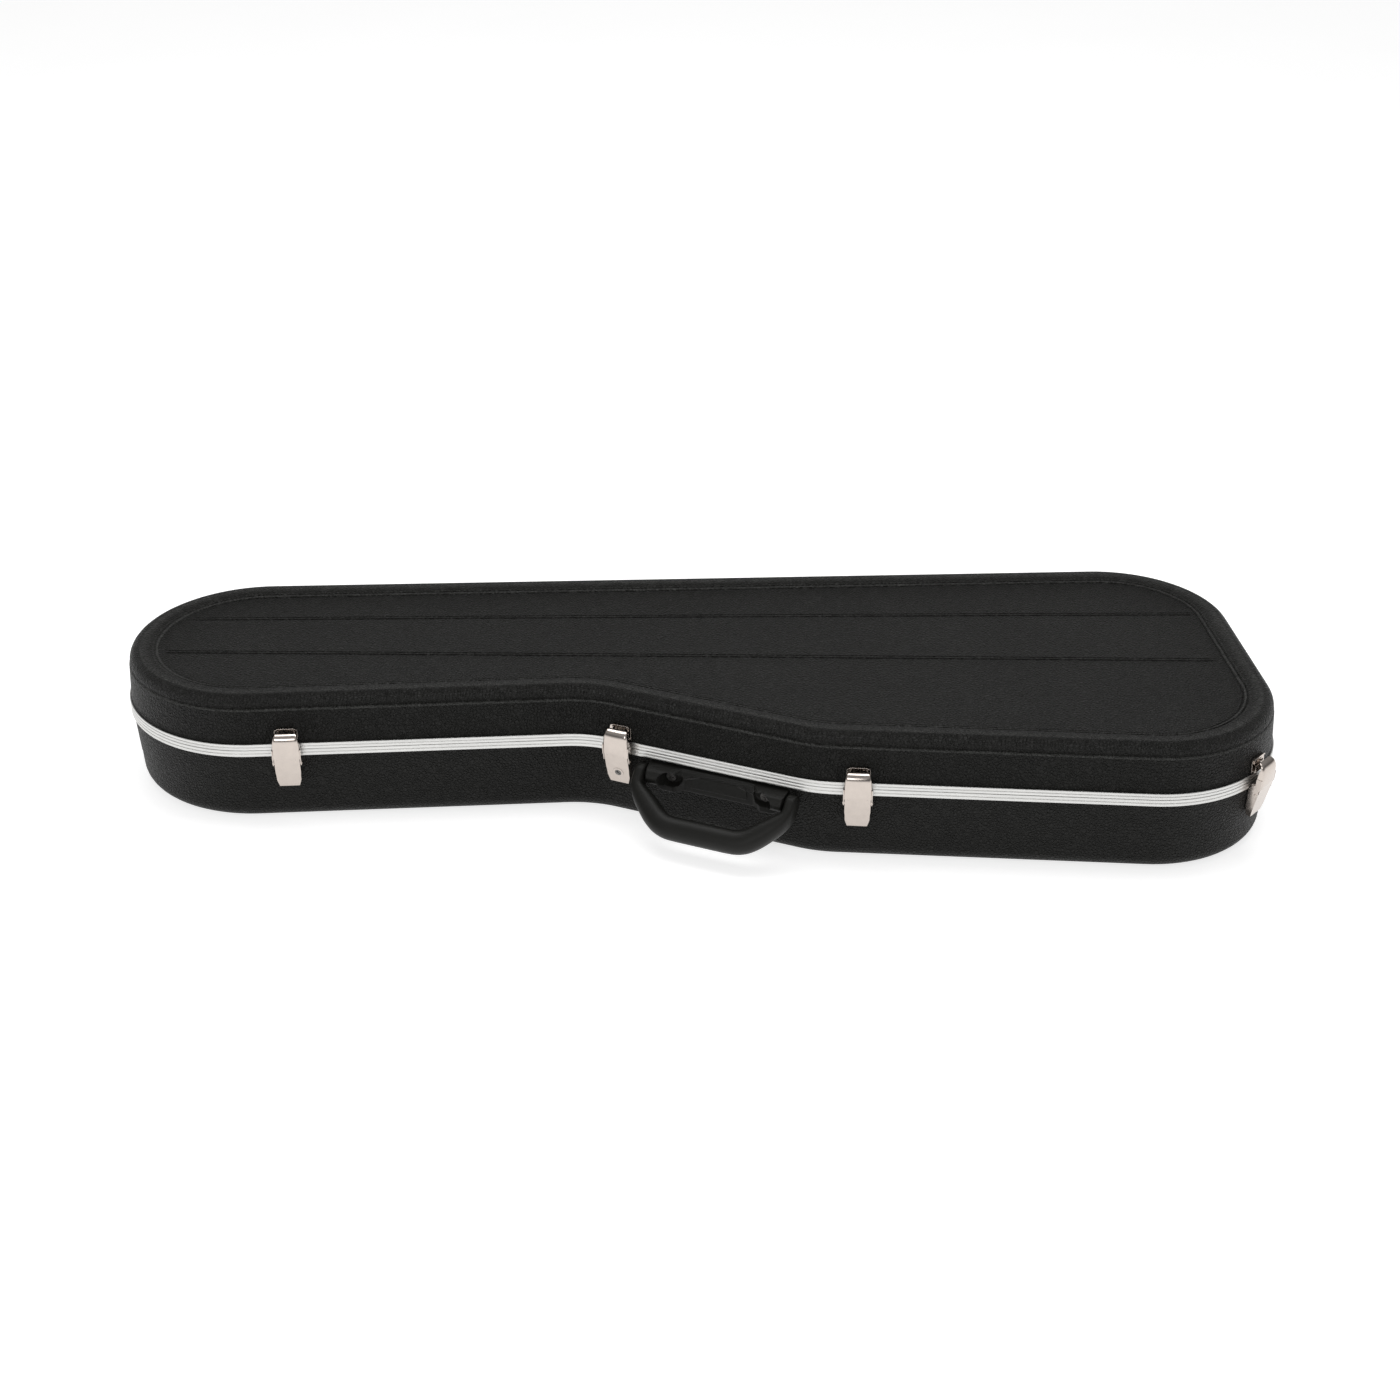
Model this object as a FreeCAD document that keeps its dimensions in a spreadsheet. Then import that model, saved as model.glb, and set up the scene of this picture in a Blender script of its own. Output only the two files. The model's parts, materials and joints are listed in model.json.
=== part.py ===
import FreeCAD, Part
import math
import os
import Sketcher

# Hard case for an electric guitar: a moulded base and a hinged lid that meet in an aluminium
# band, with four draw latches, one of them lockable, a swinging handle and a padded inside.
#
# Frame, in millimetres: the origin is the middle of the flat bottom, +X runs from the head end
# to the wide tail end, +Y from the latches to the hinges and +Z up. The case lies flat, shut.
#
# "Drop" and "rise" are heights below and above the seam. "Inset" is a distance in from the
# outline, "out" a distance out from it.

Vector = FreeCAD.Vector
Rotation = FreeCAD.Rotation
Placement = FreeCAD.Placement

DIMENSIONS = {
    # plan outline: the corners of the unrounded outline, and their radii
    "head_back_x": -530, "head_back_y": 187, "head_back_round": 124,
    "head_front_x": -530, "head_front_y": -67, "head_front_round": 124,
    "waist_x": -96, "waist_y": -54, "waist_round": 90,
    "shoulder_x": 104, "shoulder_y": -151, "shoulder_round": 119,
    "tail_front_x": 535, "tail_front_y": -202, "tail_front_round": 117,
    "tail_back_x": 520, "tail_back_y": 187, "tail_back_round": 118,
    # the two shells
    "seam_height": 76, "case_height": 128, "wall": 3, "base_draft": 0.08, "lid_draft": 0.05,
    "bottom_round": 14, "lid_wall_top": 115, "ledge": 0.9, "rim_round": 9, "crest_inset": 13.5,
    "crest_end_inset": 26, "crest_fall": 1.4, "panel_inset": 28, "panel_height": 125,
    # the aluminium band: two extrusions, tongue and groove
    "band_out": 1.2, "band_low": 69.5, "band_high": 82, "seam_gap": 0.1,
    "slot_inset": 3.6, "slot_web": 1.8, "groove_inset": 4.5, "groove_width": 3,
    "groove_floor": 72.5, "band_inset": 9, "tongue_inset": 5.1, "tongue_width": 1.8,
    "tongue_low": 73.3, "lid_band_inset": 7.5,
    # padding
    "foam_gap": 1.4, "foam_top": 67, "plush": 1.5,
    "body_floor": 16, "neck_floor": 34, "head_floor": 18, "pocket_floor": 10, "ledge_floor": 52.5,
    "lid_plush_low": 83, "lid_plush_gap": 1.8, "ceiling": 114.2, "pad_inset": 18, "pad_gap": 0.3,
    # draw latches
    "plate_thick": 1.2, "plate_half": 8.8, "plate_top": 7.4, "plate_bottom": 34,
    "lever_pin_out": 8.5, "lever_pin_drop": 3, "lever_pin_round": 1.25, "ear_round": 2.3,
    "ear_out_x": 9.9, "sheet": 1, "lever_lean": 9, "lever_half": 11.5, "lever_front": 3.4,
    "lever_back": 6.2, "lever_top": 0.9, "lever_waist": 19, "lever_bottom": 34.3, "lever_tip_half": 9.4,
    "lever_corner": 3, "lever_curl": 2.2,
    "claw_pin_fore": 1.07, "claw_pin_down": 6.85, "claw_pin_round": 1, "claw_half": 13,
    "claw_top_half": 11.6, "claw_lip": 6.3, "claw_front": 3.9, "claw_lean": 1.2, "claw_height": 28,
    "claw_hook": 5.1, "claw_corner": 3.2, "claw_bend": 6.2, "claw_flange": 5.5, "claw_ear_round": 2.4, "running_gap": 0.05,
    "keeper_half": 10.5, "keeper_low": 8, "keeper_top": 21.5, "keeper_reach": 4.3, "keeper_corner": 4,
    "rivet_head_round": 2.5, "rivet_head": 1, "rivet_round": 1.6,
    # lock in the second lever
    "lock_down": 21, "barrel_round": 5, "barrel_flange": 5.4, "plug_round": 3.1, "cam_reach": 7.4,
    # hinges
    "hinge_half": 30, "hinge_pin_out": 4.5, "hinge_pin_round": 1.5, "knuckle_round": 3,
    "leaf_thick": 1.5, "leaf_drop": 30, "leaf_rise": 28,
    # handle
    "pivot_out": 9.8, "pivot_drop": 17.5, "pivot_round": 2.5, "boss_round": 8.5, "boss_inner": 40,
    "boss_outer": 67.5, "handle_plate": 3, "handle_plate_drop": 34, "lug_round": 9, "lug_inner": 68,
    "lug_outer": 79, "grip_reach": 45, "grip_round": 11, "grip_lean": 50, "screw_x": 46,
    # accessory pocket lid
    "flap_thick": 3.5, "flap_width": 54, "flap_length": 302, "flap_middle_x": -90,
    "flap_hinge_y": 112, "flap_top": 57.8,
}

doc = FreeCAD.newDocument("guitar_case")
sheet = doc.addObject("Spreadsheet::Sheet", "Sheet")
for row, (alias, number) in enumerate(DIMENSIONS.items(), start=1):
    sheet.set(f"A{row}", alias)
    sheet.set(f"B{row}", str(number))
    sheet.setAlias(f"B{row}", alias)
doc.recompute()


# ---------------------------------------------------------------- sizes and expressions

class Size:
    """A number together with the spreadsheet expression that gives it."""

    def __init__(self, value, text=None):
        self.value = float(value)
        self.text = text or f"{float(value):.6g}"

    def joined(self, other, sign, value):
        return Size(value, f"({self.text} {sign} {as_size(other).text})")

    def __add__(self, other):
        return self.joined(other, "+", self.value + as_size(other).value)

    def __sub__(self, other):
        return self.joined(other, "-", self.value - as_size(other).value)

    def __mul__(self, other):
        return self.joined(other, "*", self.value * as_size(other).value)

    def __truediv__(self, other):
        return self.joined(other, "/", self.value / as_size(other).value)

    def __neg__(self):
        return Size(-self.value, f"(0 - {self.text})")

    def __radd__(self, other):
        return as_size(other) + self

    def __rsub__(self, other):
        return as_size(other) - self

    def __rmul__(self, other):
        return as_size(other) * self


def as_size(item):
    return item if isinstance(item, Size) else Size(item)


def size(alias):
    """The sheet's value under this alias, as a Size."""
    return Size(getattr(sheet, alias), f"Sheet.{alias}")


def value(alias):
    return float(getattr(sheet, alias))


def bind(item, prop, amount):
    item.setExpression(prop, as_size(amount).text)


# ---------------------------------------------------------------- solids bound to the sheet

parts = []
FRONT_PLANE = Rotation(Vector(1, 0, 0), Vector(0, 0, 1), Vector(0, -1, 0), "ZXY")
SIDE_PLANE = Rotation(Vector(0, 1, 0), Vector(0, 0, 1), Vector(1, 0, 0), "ZXY")
AXIS_TURNS = {"x": Rotation(Vector(0, 1, 0), 90), "y": Rotation(Vector(1, 0, 0), -90), "z": Rotation()}


def box(x_range, y_range, z_range):
    item = doc.addObject("Part::Box", "block")
    ranges = (x_range, y_range, z_range)
    for prop, axis, (low, high) in zip(("Length", "Width", "Height"), "xyz", ranges):
        bind(item, prop, as_size(high) - low)
        bind(item, f"Placement.Base.{axis}", low)
    return item


def cylinder(radius, axis, span, x=0, y=0, z=0):
    """A round bar along the axis over the span; the other two coordinates place it."""
    item = doc.addObject("Part::Cylinder", "bar")
    item.Placement = Placement(Vector(), AXIS_TURNS[axis])
    low, high = span
    corner = {"x": x, "y": y, "z": z, axis: low}
    bind(item, "Radius", radius)
    bind(item, "Height", as_size(high) - low)
    for name, place in corner.items():
        bind(item, f"Placement.Base.{name}", place)
    return item


def polygon(points, turn):
    """A closed sketch of straight edges whose corners are bound to the sheet."""
    sketch = doc.addObject("Sketcher::SketchObject", "outline")
    sketch.Placement = Placement(Vector(), turn)
    corners = [(as_size(across), as_size(up)) for across, up in points]
    places = [Vector(across.value, up.value, 0) for across, up in corners]
    for number, place in enumerate(places):
        sketch.addGeometry(Part.LineSegment(place, places[(number + 1) % len(places)]))
    for number in range(len(places)):
        following = (number + 1) % len(places)
        sketch.addConstraint(Sketcher.Constraint("Coincident", number, 2, following, 1))
    for number, corner in enumerate(corners):
        for kind, axis, amount in zip(("DistanceX", "DistanceY"), (-2, -1), corner):
            if amount.value == 0:
                sketch.addConstraint(Sketcher.Constraint("PointOnObject", number, 1, axis))
                continue
            rule = Sketcher.Constraint(kind, -1, 1, number, 1, amount.value)
            index = sketch.addConstraint(rule)
            bind(sketch, f"Constraints[{index}]", amount)
    return sketch


def extrusion(sketch, length):
    item = doc.addObject("Part::Extrusion", "prism")
    item.Base = sketch
    item.DirMode = "Normal"
    item.Solid = True
    bind(item, "LengthFwd", length)
    return item


def front_prism(points, back, front):
    """A front view, given as (x, z), extruded between two values of y."""
    sketch = polygon(points, FRONT_PLANE)
    bind(sketch, "Placement.Base.y", back)
    return extrusion(sketch, as_size(back) - front)


def side_prism(points, low, high):
    """A side view, given as (y, z), extruded between two values of x."""
    sketch = polygon(points, SIDE_PLANE)
    bind(sketch, "Placement.Base.x", low)
    return extrusion(sketch, as_size(high) - low)


def arc(x, y, radius, start, end, steps=4):
    """Points along an arc round (x, y), from one angle in degrees to another."""
    points = []
    for step in range(steps + 1):
        angle = math.radians(start + (end - start) * step / steps)
        points.append((x + radius * round(math.cos(angle), 6), y + radius * round(math.sin(angle), 6)))
    return points


def mirrored_points(points):
    """A symmetric front outline from its right half, which runs from the bottom up."""
    return points + [(-as_size(across), up) for across, up in reversed(points)]


def fuse(*items):
    item = doc.addObject("Part::MultiFuse", "joined")
    item.Shapes = list(items)
    return item


def common(*items):
    item = doc.addObject("Part::MultiCommon", "overlap")
    item.Shapes = list(items)
    return item


def cut(base, *tools):
    item = doc.addObject("Part::Cut", "trimmed")
    item.Base = base
    item.Tool = tools[0] if len(tools) == 1 else fuse(*tools)
    return item


def group(items):
    item = doc.addObject("Part::Compound", "group")
    item.Links = list(items)
    return item


def placed(item, place):
    item.Placement = place
    return item


def part(label, item, place=None):
    """Name a finished sub-part and put it where it belongs."""
    item.Label = label
    if place is not None:
        item.Placement = place
    parts.append(item)
    return item


def part_from_shape(label, shape):
    item = doc.addObject("Part::Feature", label)
    item.Shape = shape
    item.Placement = Placement()
    return part(label, item)


# ---------------------------------------------------------------- outlines

def corner_list(*names):
    return [(value(f"{name}_x"), value(f"{name}_y"), value(f"{name}_round")) for name in names]


CASE = corner_list("head_back", "head_front", "waist", "shoulder", "tail_front", "tail_back")


def corner_arcs(corners, inset):
    """Centre, signed radius and the two tangent directions of each rounded corner."""
    arcs = []
    for number, (x, y, radius) in enumerate(corners):
        before = corners[number - 1]
        after = corners[(number + 1) % len(corners)]
        corner = Vector(x, y, 0)
        come = (corner - Vector(before[0], before[1], 0)).normalize()
        leave = (Vector(after[0], after[1], 0) - corner).normalize()
        side = math.copysign(1, come.cross(leave).z)
        reach = radius * math.tan(come.getAngle(leave) / 2)
        centre = corner - come * reach + Vector(-come.y, come.x, 0) * side * radius
        arcs.append((centre, side * radius - inset, come, leave))
    return arcs


def right_of(direction):
    return Vector(direction.y, -direction.x, 0)


def outline(corners, inset, height):
    """A closed wire of tangent lines and arcs, set in from the corners' outline."""
    ends = []
    edges = []
    for centre, radius, come, leave in corner_arcs(corners, inset):
        centre = centre + Vector(0, 0, height)
        start = centre + right_of(come) * radius
        middle = centre + right_of(come + leave).normalize() * radius
        finish = centre + right_of(leave) * radius
        ends.append((start, finish))
        edges.append(Part.Arc(start, middle, finish).toShape())
    lines = []
    for number, (start, finish) in enumerate(ends):
        lines.append(Part.makeLine(finish, ends[(number + 1) % len(ends)][0]))
    return Part.Wire([edge for pair in zip(edges, lines) for edge in pair])


def tub(corners, sections):
    """A closed solid through outlines at the given (inset, height) sections."""
    return Part.makeLoft([outline(corners, inset, height) for inset, height in sections], True, True)


def slab(corners, inset, low, high):
    return Part.Face(outline(corners, inset, low)).extrude(Vector(0, 0, high - low))


def ring(outer, inner, low, high):
    return slab(CASE, outer, low, high).cut(slab(CASE, inner, low, high))


def station(x):
    """Point and outward direction on the case's front edge at this x."""
    for centre, radius, come, leave in corner_arcs(CASE, 0):
        start = centre + right_of(come) * radius
        finish = centre + right_of(leave) * radius
        if start.x <= x <= finish.x:
            rise = math.copysign(math.sqrt(radius ** 2 - (x - centre.x) ** 2), radius)
            out = Vector(x - centre.x, -rise, 0).normalize() * math.copysign(1, radius)
            return Vector(x, centre.y - rise, 0), out
        if finish.x <= x and leave.x > 0:
            point = finish + leave * ((x - finish.x) / leave.x)
            out = right_of(leave)
    return point, out


def wall_frame(point, out, tilt):
    """Frame on the wall at seam height: local -Y is outward, local Z runs up the drafted wall."""
    turn = math.degrees(math.atan2(out.x, -out.y))
    rotation = Rotation(Vector(0, 0, 1), turn) * Rotation(Vector(1, 0, 0), tilt)
    return Placement(point + Vector(0, 0, value("seam_height")), rotation)


def shift(x, y, z):
    return Placement(Vector(x, y, z), Rotation())


BASE_TILT = math.degrees(math.atan(value("base_draft")))
LID_TILT = -math.degrees(math.atan(value("lid_draft")))
SEAM = value("seam_height")
WALL = value("wall")
THROUGH = 40


# ---------------------------------------------------------------- shells

def base_sections(depth, top):
    """Sections of the base's outside, moved inward by a depth."""
    round_height = value("bottom_round")
    radius = round_height - depth
    start = value("base_draft") * (SEAM - round_height) + depth
    sections = []
    for step in range(4, 0, -1):
        angle = math.radians(22.5 * step)
        sections.append((start + radius * (1 - math.cos(angle)), round_height - radius * math.sin(angle)))
    sections.append((start, round_height))
    sections.append((value("base_draft") * (SEAM - top) + depth, top))
    return sections


def lid_outer_sections(low):
    """Sections of the lid's outside: drafted wall, ledge, rounded rim, slope and flat panel."""
    draft = value("lid_draft")
    wall_top = value("lid_wall_top")
    radius = value("rim_round")
    edge = draft * (wall_top - SEAM)
    sections = [(draft * (low - SEAM), low), (edge, wall_top), (edge + value("ledge"), wall_top + 0.4)]
    arc_height = value("case_height") - radius
    for step in range(5):
        angle = math.radians(22.5 * step)
        inset = edge + value("ledge") + radius * (1 - math.cos(angle))
        sections.append((inset, arc_height + radius * math.sin(angle)))
    sections.append((value("crest_inset"), value("case_height")))
    sections.append((value("crest_end_inset"), value("case_height") - value("crest_fall")))
    sections.append((value("panel_inset"), value("panel_height")))
    return sections


def lid_inner_sections(low):
    draft = value("lid_draft")
    ceiling = value("panel_height") - WALL
    radius = value("rim_round")
    start = draft * (ceiling - radius - SEAM) + WALL
    sections = [(draft * (low - SEAM) + WALL, low)]
    for step in range(5):
        angle = math.radians(22.5 * step)
        height = ceiling - radius + radius * math.sin(angle)
        sections.append((start + radius * (1 - math.cos(angle)), height))
    return sections


def drill(shape, holes):
    return shape.cut(Part.makeCompound(holes)) if holes else shape


base_holes = []
lid_holes = []


def hole_shape(place, x, z, radius):
    """A hole through a wall, across the wall frame."""
    hole = Part.makeCylinder(radius, THROUGH, Vector(x, -THROUGH / 2, z), Vector(0, 1, 0))
    hole.Placement = place
    return hole


# ---------------------------------------------------------------- rivets

def rivets(label, seats, holes):
    """One node of identical rivets; a seat is (frame, x, z, thickness under the head, gap to the wall)."""
    radius = size("rivet_round")
    head = size("rivet_head")
    items = []
    for place, x, z, under, gap in seats:
        top = -as_size(under)
        tail = size("wall") + gap + 0.05
        flange = cylinder(size("rivet_head_round"), "y", (top - head, top), x=x, z=z)
        shank = cylinder(radius, "y", (top, tail), x=x, z=z)
        clinch = cylinder(size("rivet_head_round"), "y", (tail, tail + head), x=x, z=z)
        items.append(placed(fuse(flange, shank, clinch), place))
        holes.append(hole_shape(place, as_size(x).value, as_size(z).value, radius.value))
    part(label, group(items))


# ---------------------------------------------------------------- draw latches

LATCHES = ((-370.3, 0), (-66.5, 0.2), (142, 0), (498.5, 0))  # x, and the gap behind the plate
LATCH_RIVET_DROPS = (14, 29.5)
KEEPER_RIVET_X = 5.5
KEEPER_RIVET_RISE = 16.8
CORNER_GAP = 0.3  # the wall curves away behind a keeper at a corner


def lever_frame(latch):
    pin = shift(0, -value("lever_pin_out"), -value("lever_pin_drop"))
    return latch * pin * Placement(Vector(), Rotation(Vector(1, 0, 0), value("lever_lean")))


def claw_frame(latch):
    lever = lever_frame(latch)
    pin = lever.multVec(Vector(0, -value("claw_pin_fore"), -value("claw_pin_down")))
    return Placement(pin, latch.Rotation)


def latch_base(label, latch, lockable):
    """Riveted plate with two ears that carry the lever's pin."""
    thick = size("plate_thick")
    out = size("lever_pin_out")
    drop = size("lever_pin_drop")
    ear_x = size("ear_out_x")
    half = size("plate_half")
    bottom = size("plate_bottom")
    body = front_prism(mirrored_points([(half - 2.2, -bottom), (half, -bottom + 8), (half, -19), (ear_x, -15),
                                        (ear_x, -size("plate_top"))]), 0, -thick)
    ear = [(-0.1, -15), (-0.1, -8), (-2.2, -8), (-2.2, -2.4), (-out, -drop + size("ear_round")),
           (-out - 1.6, -drop - 1.6), (-out, -drop - size("ear_round")), (-2.4, -13)]
    pieces = [body]
    for low in (ear_x - size("sheet"), -ear_x):
        pieces.append(side_prism(ear, low, low + size("sheet")))
        pieces.append(cylinder(size("ear_round"), "x", (low, low + size("sheet")), y=-out, z=-drop))
    if lockable:
        row = (-25.5, -20.5)
        pieces.append(box((7.7, 8.7), (-4.3, -thick), row))
        pieces.append(box((5.7, 8.7), (-4.3, -3.5), row))
    tools = [cylinder(size("lever_pin_round"), "x", (-20, 20), y=-out, z=-drop)]
    for rivet_drop in LATCH_RIVET_DROPS:
        tools.append(cylinder(size("rivet_round"), "y", (-4, 4), z=-rivet_drop))
    part(label, cut(fuse(*pieces), *tools), latch)


def lever(label, latch, lockable):
    """Channel of sheet metal; its frame's origin is on the pin that holds it to the plate."""
    sheet_metal = size("sheet")
    half = size("lever_half")
    tip = size("lever_tip_half")
    bottom = size("lever_bottom")
    waist = size("lever_waist")
    top = size("lever_top")
    front = size("lever_front")
    back = size("lever_back")
    corner = size("lever_corner")

    def tray(inward):
        """Front outline of the lever, or of the space inside its sheet metal."""
        bend = corner - inward
        return mirrored_points(
            arc(tip - corner, -bottom + corner, bend, -90, 0)
            + [(tip - inward + 0.9, -bottom + 6), (tip - inward + 1.6, -bottom + 9),
               (half - inward - 0.4, -waist - 1), (half - inward, -waist + 3), (half - inward, 8)])

    ear = size("ear_round")
    curl = size("lever_curl")
    side = arc(-front + curl, -bottom + curl, curl, 270, 180)
    side += [(-front, -top), (-ear, -top + 0.6), (-0.9, ear), (0.9, ear), (ear, 0.9), (back, -3),
             (back - 2.6, -20), (back - 3.7, -bottom + 6.3), (back - 4.4, -bottom + 2.4),
             (back - 5.6, -bottom + 0.5)]
    shell = common(front_prism(tray(Size(0)), 6, -6), side_prism(side, -20, 20))
    tools = [
        front_prism(tray(sheet_metal), 8, -front + sheet_metal),
        cylinder(size("lever_pin_round") + size("running_gap"), "x", (-20, 20)),
        cylinder(size("claw_pin_round"), "x", (-20, 20), y=-size("claw_pin_fore"), z=-size("claw_pin_down")),
    ]
    if lockable:
        tools.append(cylinder(size("barrel_round"), "y", (-8, 0), z=-size("lock_down")))
    part(label, cut(shell, *tools), lever_frame(latch))


def claw(label, latch):
    """Sheet-metal claw; its frame's origin is on the pin that holds it to the lever."""
    sheet_metal = size("sheet")
    half = size("claw_half")
    top_half = size("claw_top_half")
    lip = size("claw_lip")
    front = size("claw_front")
    lean = size("claw_lean")
    height = size("claw_height")
    ear = size("claw_ear_round")
    flange = size("claw_flange")
    hook = size("claw_hook")
    corner = size("claw_corner")
    bend = size("claw_bend")

    def face(inward, low, high):
        """Front outline of the claw, or of the space inside its sheet metal."""
        return mirrored_points([(half - inward, low), (half - inward, lip + 1)]
                               + arc(top_half - corner, height - corner, corner - inward, 0, 90) + high)

    def front_face(inward):
        """Side view of the front and the bend over its top, from the lip up."""
        return [(-front + inward, lip)] + arc(-front + lean + bend, height - bend, bend - inward, 180, 90, 5)

    side = front_face(Size(0))
    side += [(hook, height), (hook, height - 3.2), (flange - 3.5, height - 5), (flange - 1.2, height - 10),
             (flange, 8), (flange, 5), (ear + 1, 1.6), (ear, -0.9), (0.9, -ear), (-0.9, -ear), (-ear, -0.9),
             (-ear, lip)]
    hollow = [(-front + sheet_metal, -8)] + front_face(sheet_metal) + [(12, height - sheet_metal), (12, -8)]
    shell = common(front_prism(face(Size(0), -4, []), 12, -12), side_prism(side, -20, 20))
    space = common(front_prism(face(sheet_metal, -6, [(top_half - corner, height + 2)]), 14, -14),
                   side_prism(hollow, -22, 22))
    pin = cylinder(size("claw_pin_round") + size("running_gap"), "x", (-20, 20))
    part(label, cut(shell, space, pin), claw_frame(latch))


def keeper(label, seat):
    """Riveted plate on the lid: a lip at its top and a hook that the claw pulls on."""
    half = size("keeper_half")
    thick = size("plate_thick")
    low = size("keeper_low")
    top = size("keeper_top")
    reach = size("keeper_reach")
    corner = size("keeper_corner")
    shape = mirrored_points([(half, low)] + arc(half - corner, top - corner, corner, 0, 90))
    plate = front_prism(shape, 0, -thick)
    web = box((-half + 1, half - 1), (-reach, -thick), (low + 1, low + 2))
    leg = box((-half + 1, half - 1), (-reach, -reach + 1), (low + 1, low + 7))
    lip = common(front_prism(shape, -thick, -thick - 1.7), box((-half, half), (-4, 0), (top - 1.7, top)))
    tab = box((-1.8, 1.8), (-thick - 1.1, -thick), (top - 2.6, top - 1.7))
    tools = [cylinder(size("rivet_round"), "y", (-3, 3), x=x, z=KEEPER_RIVET_RISE)
             for x in (-KEEPER_RIVET_X, KEEPER_RIVET_X)]
    part(label, cut(fuse(plate, web, leg, lip, tab), *tools), seat)


def lock(latch):
    """Key lock in a lever: barrel, turning plug and its cam."""
    place = lever_frame(latch)
    down = -size("lock_down")
    plug = size("plug_round")
    face = -size("lever_front")
    barrel = fuse(cylinder(size("barrel_round"), "y", (face, 2.2), z=down),
                  cylinder(size("barrel_flange"), "y", (face - 0.25, face), z=down))
    bore = cylinder(plug + size("running_gap"), "y", (-10, 10), z=down)
    part("lock_barrel", cut(barrel, bore), place)
    slot = front_prism([(-2.0, down + 0.8), (1.5, down - 1.4), (2.0, down - 0.6), (-1.5, down + 1.6)], -0.5, -6)
    tip = front_prism([(-1.0, down + 1.4), (0.2, down + 1.1), (-0.2, down + 2.4)], -2, -6)
    part("lock_plug", cut(cylinder(plug, "y", (face - 0.2, 2.3), z=down), slot, tip), place)
    arm = box((-1.6, 1.6), (2.3, 3.2), (down - 1.6, down + size("cam_reach")))
    part("lock_cam", fuse(arm, cylinder(size("plug_round"), "y", (2.3, 3.2), z=down)), place)


def make_latches():
    base_seats = []
    keeper_seats = []
    pins = []
    for number, (x, gap) in enumerate(LATCHES, start=1):
        point, out = station(x)
        point = point + out * gap
        latch = wall_frame(point, out, BASE_TILT)
        seat = wall_frame(point, out, LID_TILT)
        lockable = number == 2
        latch_base(f"latch_base_{number}", latch, lockable)
        lever(f"lever_{number}", latch, lockable)
        claw(f"claw_{number}", latch)
        keeper(f"keeper_{number}", seat)
        pin = cylinder(size("lever_pin_round"), "x", (-size("lever_half"), size("lever_half")))
        pins.append(placed(group([pin]), lever_frame(latch)))
        link = cylinder(size("claw_pin_round"), "x", (-size("claw_half") - 0.4, size("claw_half") + 0.4))
        part(f"claw_pin_{number}", group([link]), claw_frame(latch))
        for drop in LATCH_RIVET_DROPS:
            base_seats.append((latch, 0, -drop, size("plate_thick"), gap))
        for rivet_x in (-KEEPER_RIVET_X, KEEPER_RIVET_X):
            keeper_seats.append((seat, rivet_x, KEEPER_RIVET_RISE, size("plate_thick"), gap + CORNER_GAP))
        if lockable:
            lock(latch)
    part("lever_pins", group(pins))
    rivets("latch_base_rivets", base_seats, base_holes)
    rivets("keeper_rivets", keeper_seats, lid_holes)


# ---------------------------------------------------------------- hinges

HINGE_X = (-330, 0, 330)
HINGE_RIVET_X = 20
HINGE_RIVET_DROP = 22
HINGE_RIVET_RISE = 20
KNUCKLE_COUNT = 5


def hinge_leaf(label, frame, rising):
    """Leaf bent round the band, with every second knuckle; the frame is upright."""
    sense = 1 if rising else -1
    half = size("hinge_half")
    thick = size("leaf_thick")
    out = size("hinge_pin_out")
    knuckle = size("knuckle_round")
    band = size("band_out") + 0.3
    draft = size("lid_draft") if rising else size("base_draft")
    bend = Size(9) if rising else Size(6.9)
    elbow = Size(12.5) if rising else Size(10.2)
    end = size("leaf_rise") if rising else size("leaf_drop")
    profile = [(-band, sense * 3.4), (-band, sense * bend), (draft * elbow - 0.02, sense * elbow),
               (draft * end - 0.02, sense * end), (draft * end - thick, sense * end),
               (draft * elbow - thick, sense * elbow), (-band - thick, sense * (bend + 0.6)),
               (-band - thick, sense * 3.4)]
    pieces = [side_prism(profile, -half, half)]
    length = half * 2 / KNUCKLE_COUNT
    for number in range(1 if rising else 0, KNUCKLE_COUNT, 2):
        low = -half + length * number + 0.2
        high = low + length - 0.4
        rows = (0, 3.5) if rising else (-3.5, 0)
        pieces.append(cylinder(knuckle, "x", (low, high), y=-out))
        pieces.append(box((low, high), (-band - thick, -band), rows))
    bore = size("hinge_pin_round") + (size("running_gap") if rising else 0)
    tools = [cylinder(bore, "x", (-half - 5, half + 5), y=-out)]
    rise = HINGE_RIVET_RISE if rising else -HINGE_RIVET_DROP
    for x in (-HINGE_RIVET_X, HINGE_RIVET_X):
        tools.append(cylinder(size("rivet_round") + 0.15, "y", (-6, 6), x=x, z=rise))
    part(label, cut(fuse(*pieces), *tools), frame)


def make_hinges():
    back = value("head_back_y")
    base_seats = []
    lid_seats = []
    pins = []
    for number, x in enumerate(HINGE_X, start=1):
        point = Vector(x, back, 0)
        out = Vector(0, 1, 0)
        upright = wall_frame(point, out, 0)
        hinge_leaf(f"hinge_base_leaf_{number}", upright, False)
        hinge_leaf(f"hinge_lid_leaf_{number}", upright, True)
        half = size("hinge_half")
        pin = cylinder(size("hinge_pin_round"), "x", (-half - 1, half + 1), y=-size("hinge_pin_out"))
        pins.append(placed(group([pin]), upright))
        for rivet_x in (-HINGE_RIVET_X, HINGE_RIVET_X):
            base = wall_frame(point, out, BASE_TILT)
            lid = wall_frame(point, out, LID_TILT)
            base_seats.append((base, rivet_x, -HINGE_RIVET_DROP, size("leaf_thick") + 0.02, 0))
            lid_seats.append((lid, rivet_x, HINGE_RIVET_RISE, size("leaf_thick") + 0.02, 0))
    part("hinge_pins", group(pins))
    rivets("hinge_base_rivets", base_seats, base_holes)
    rivets("hinge_lid_rivets", lid_seats, lid_holes)


# ---------------------------------------------------------------- handle

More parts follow.
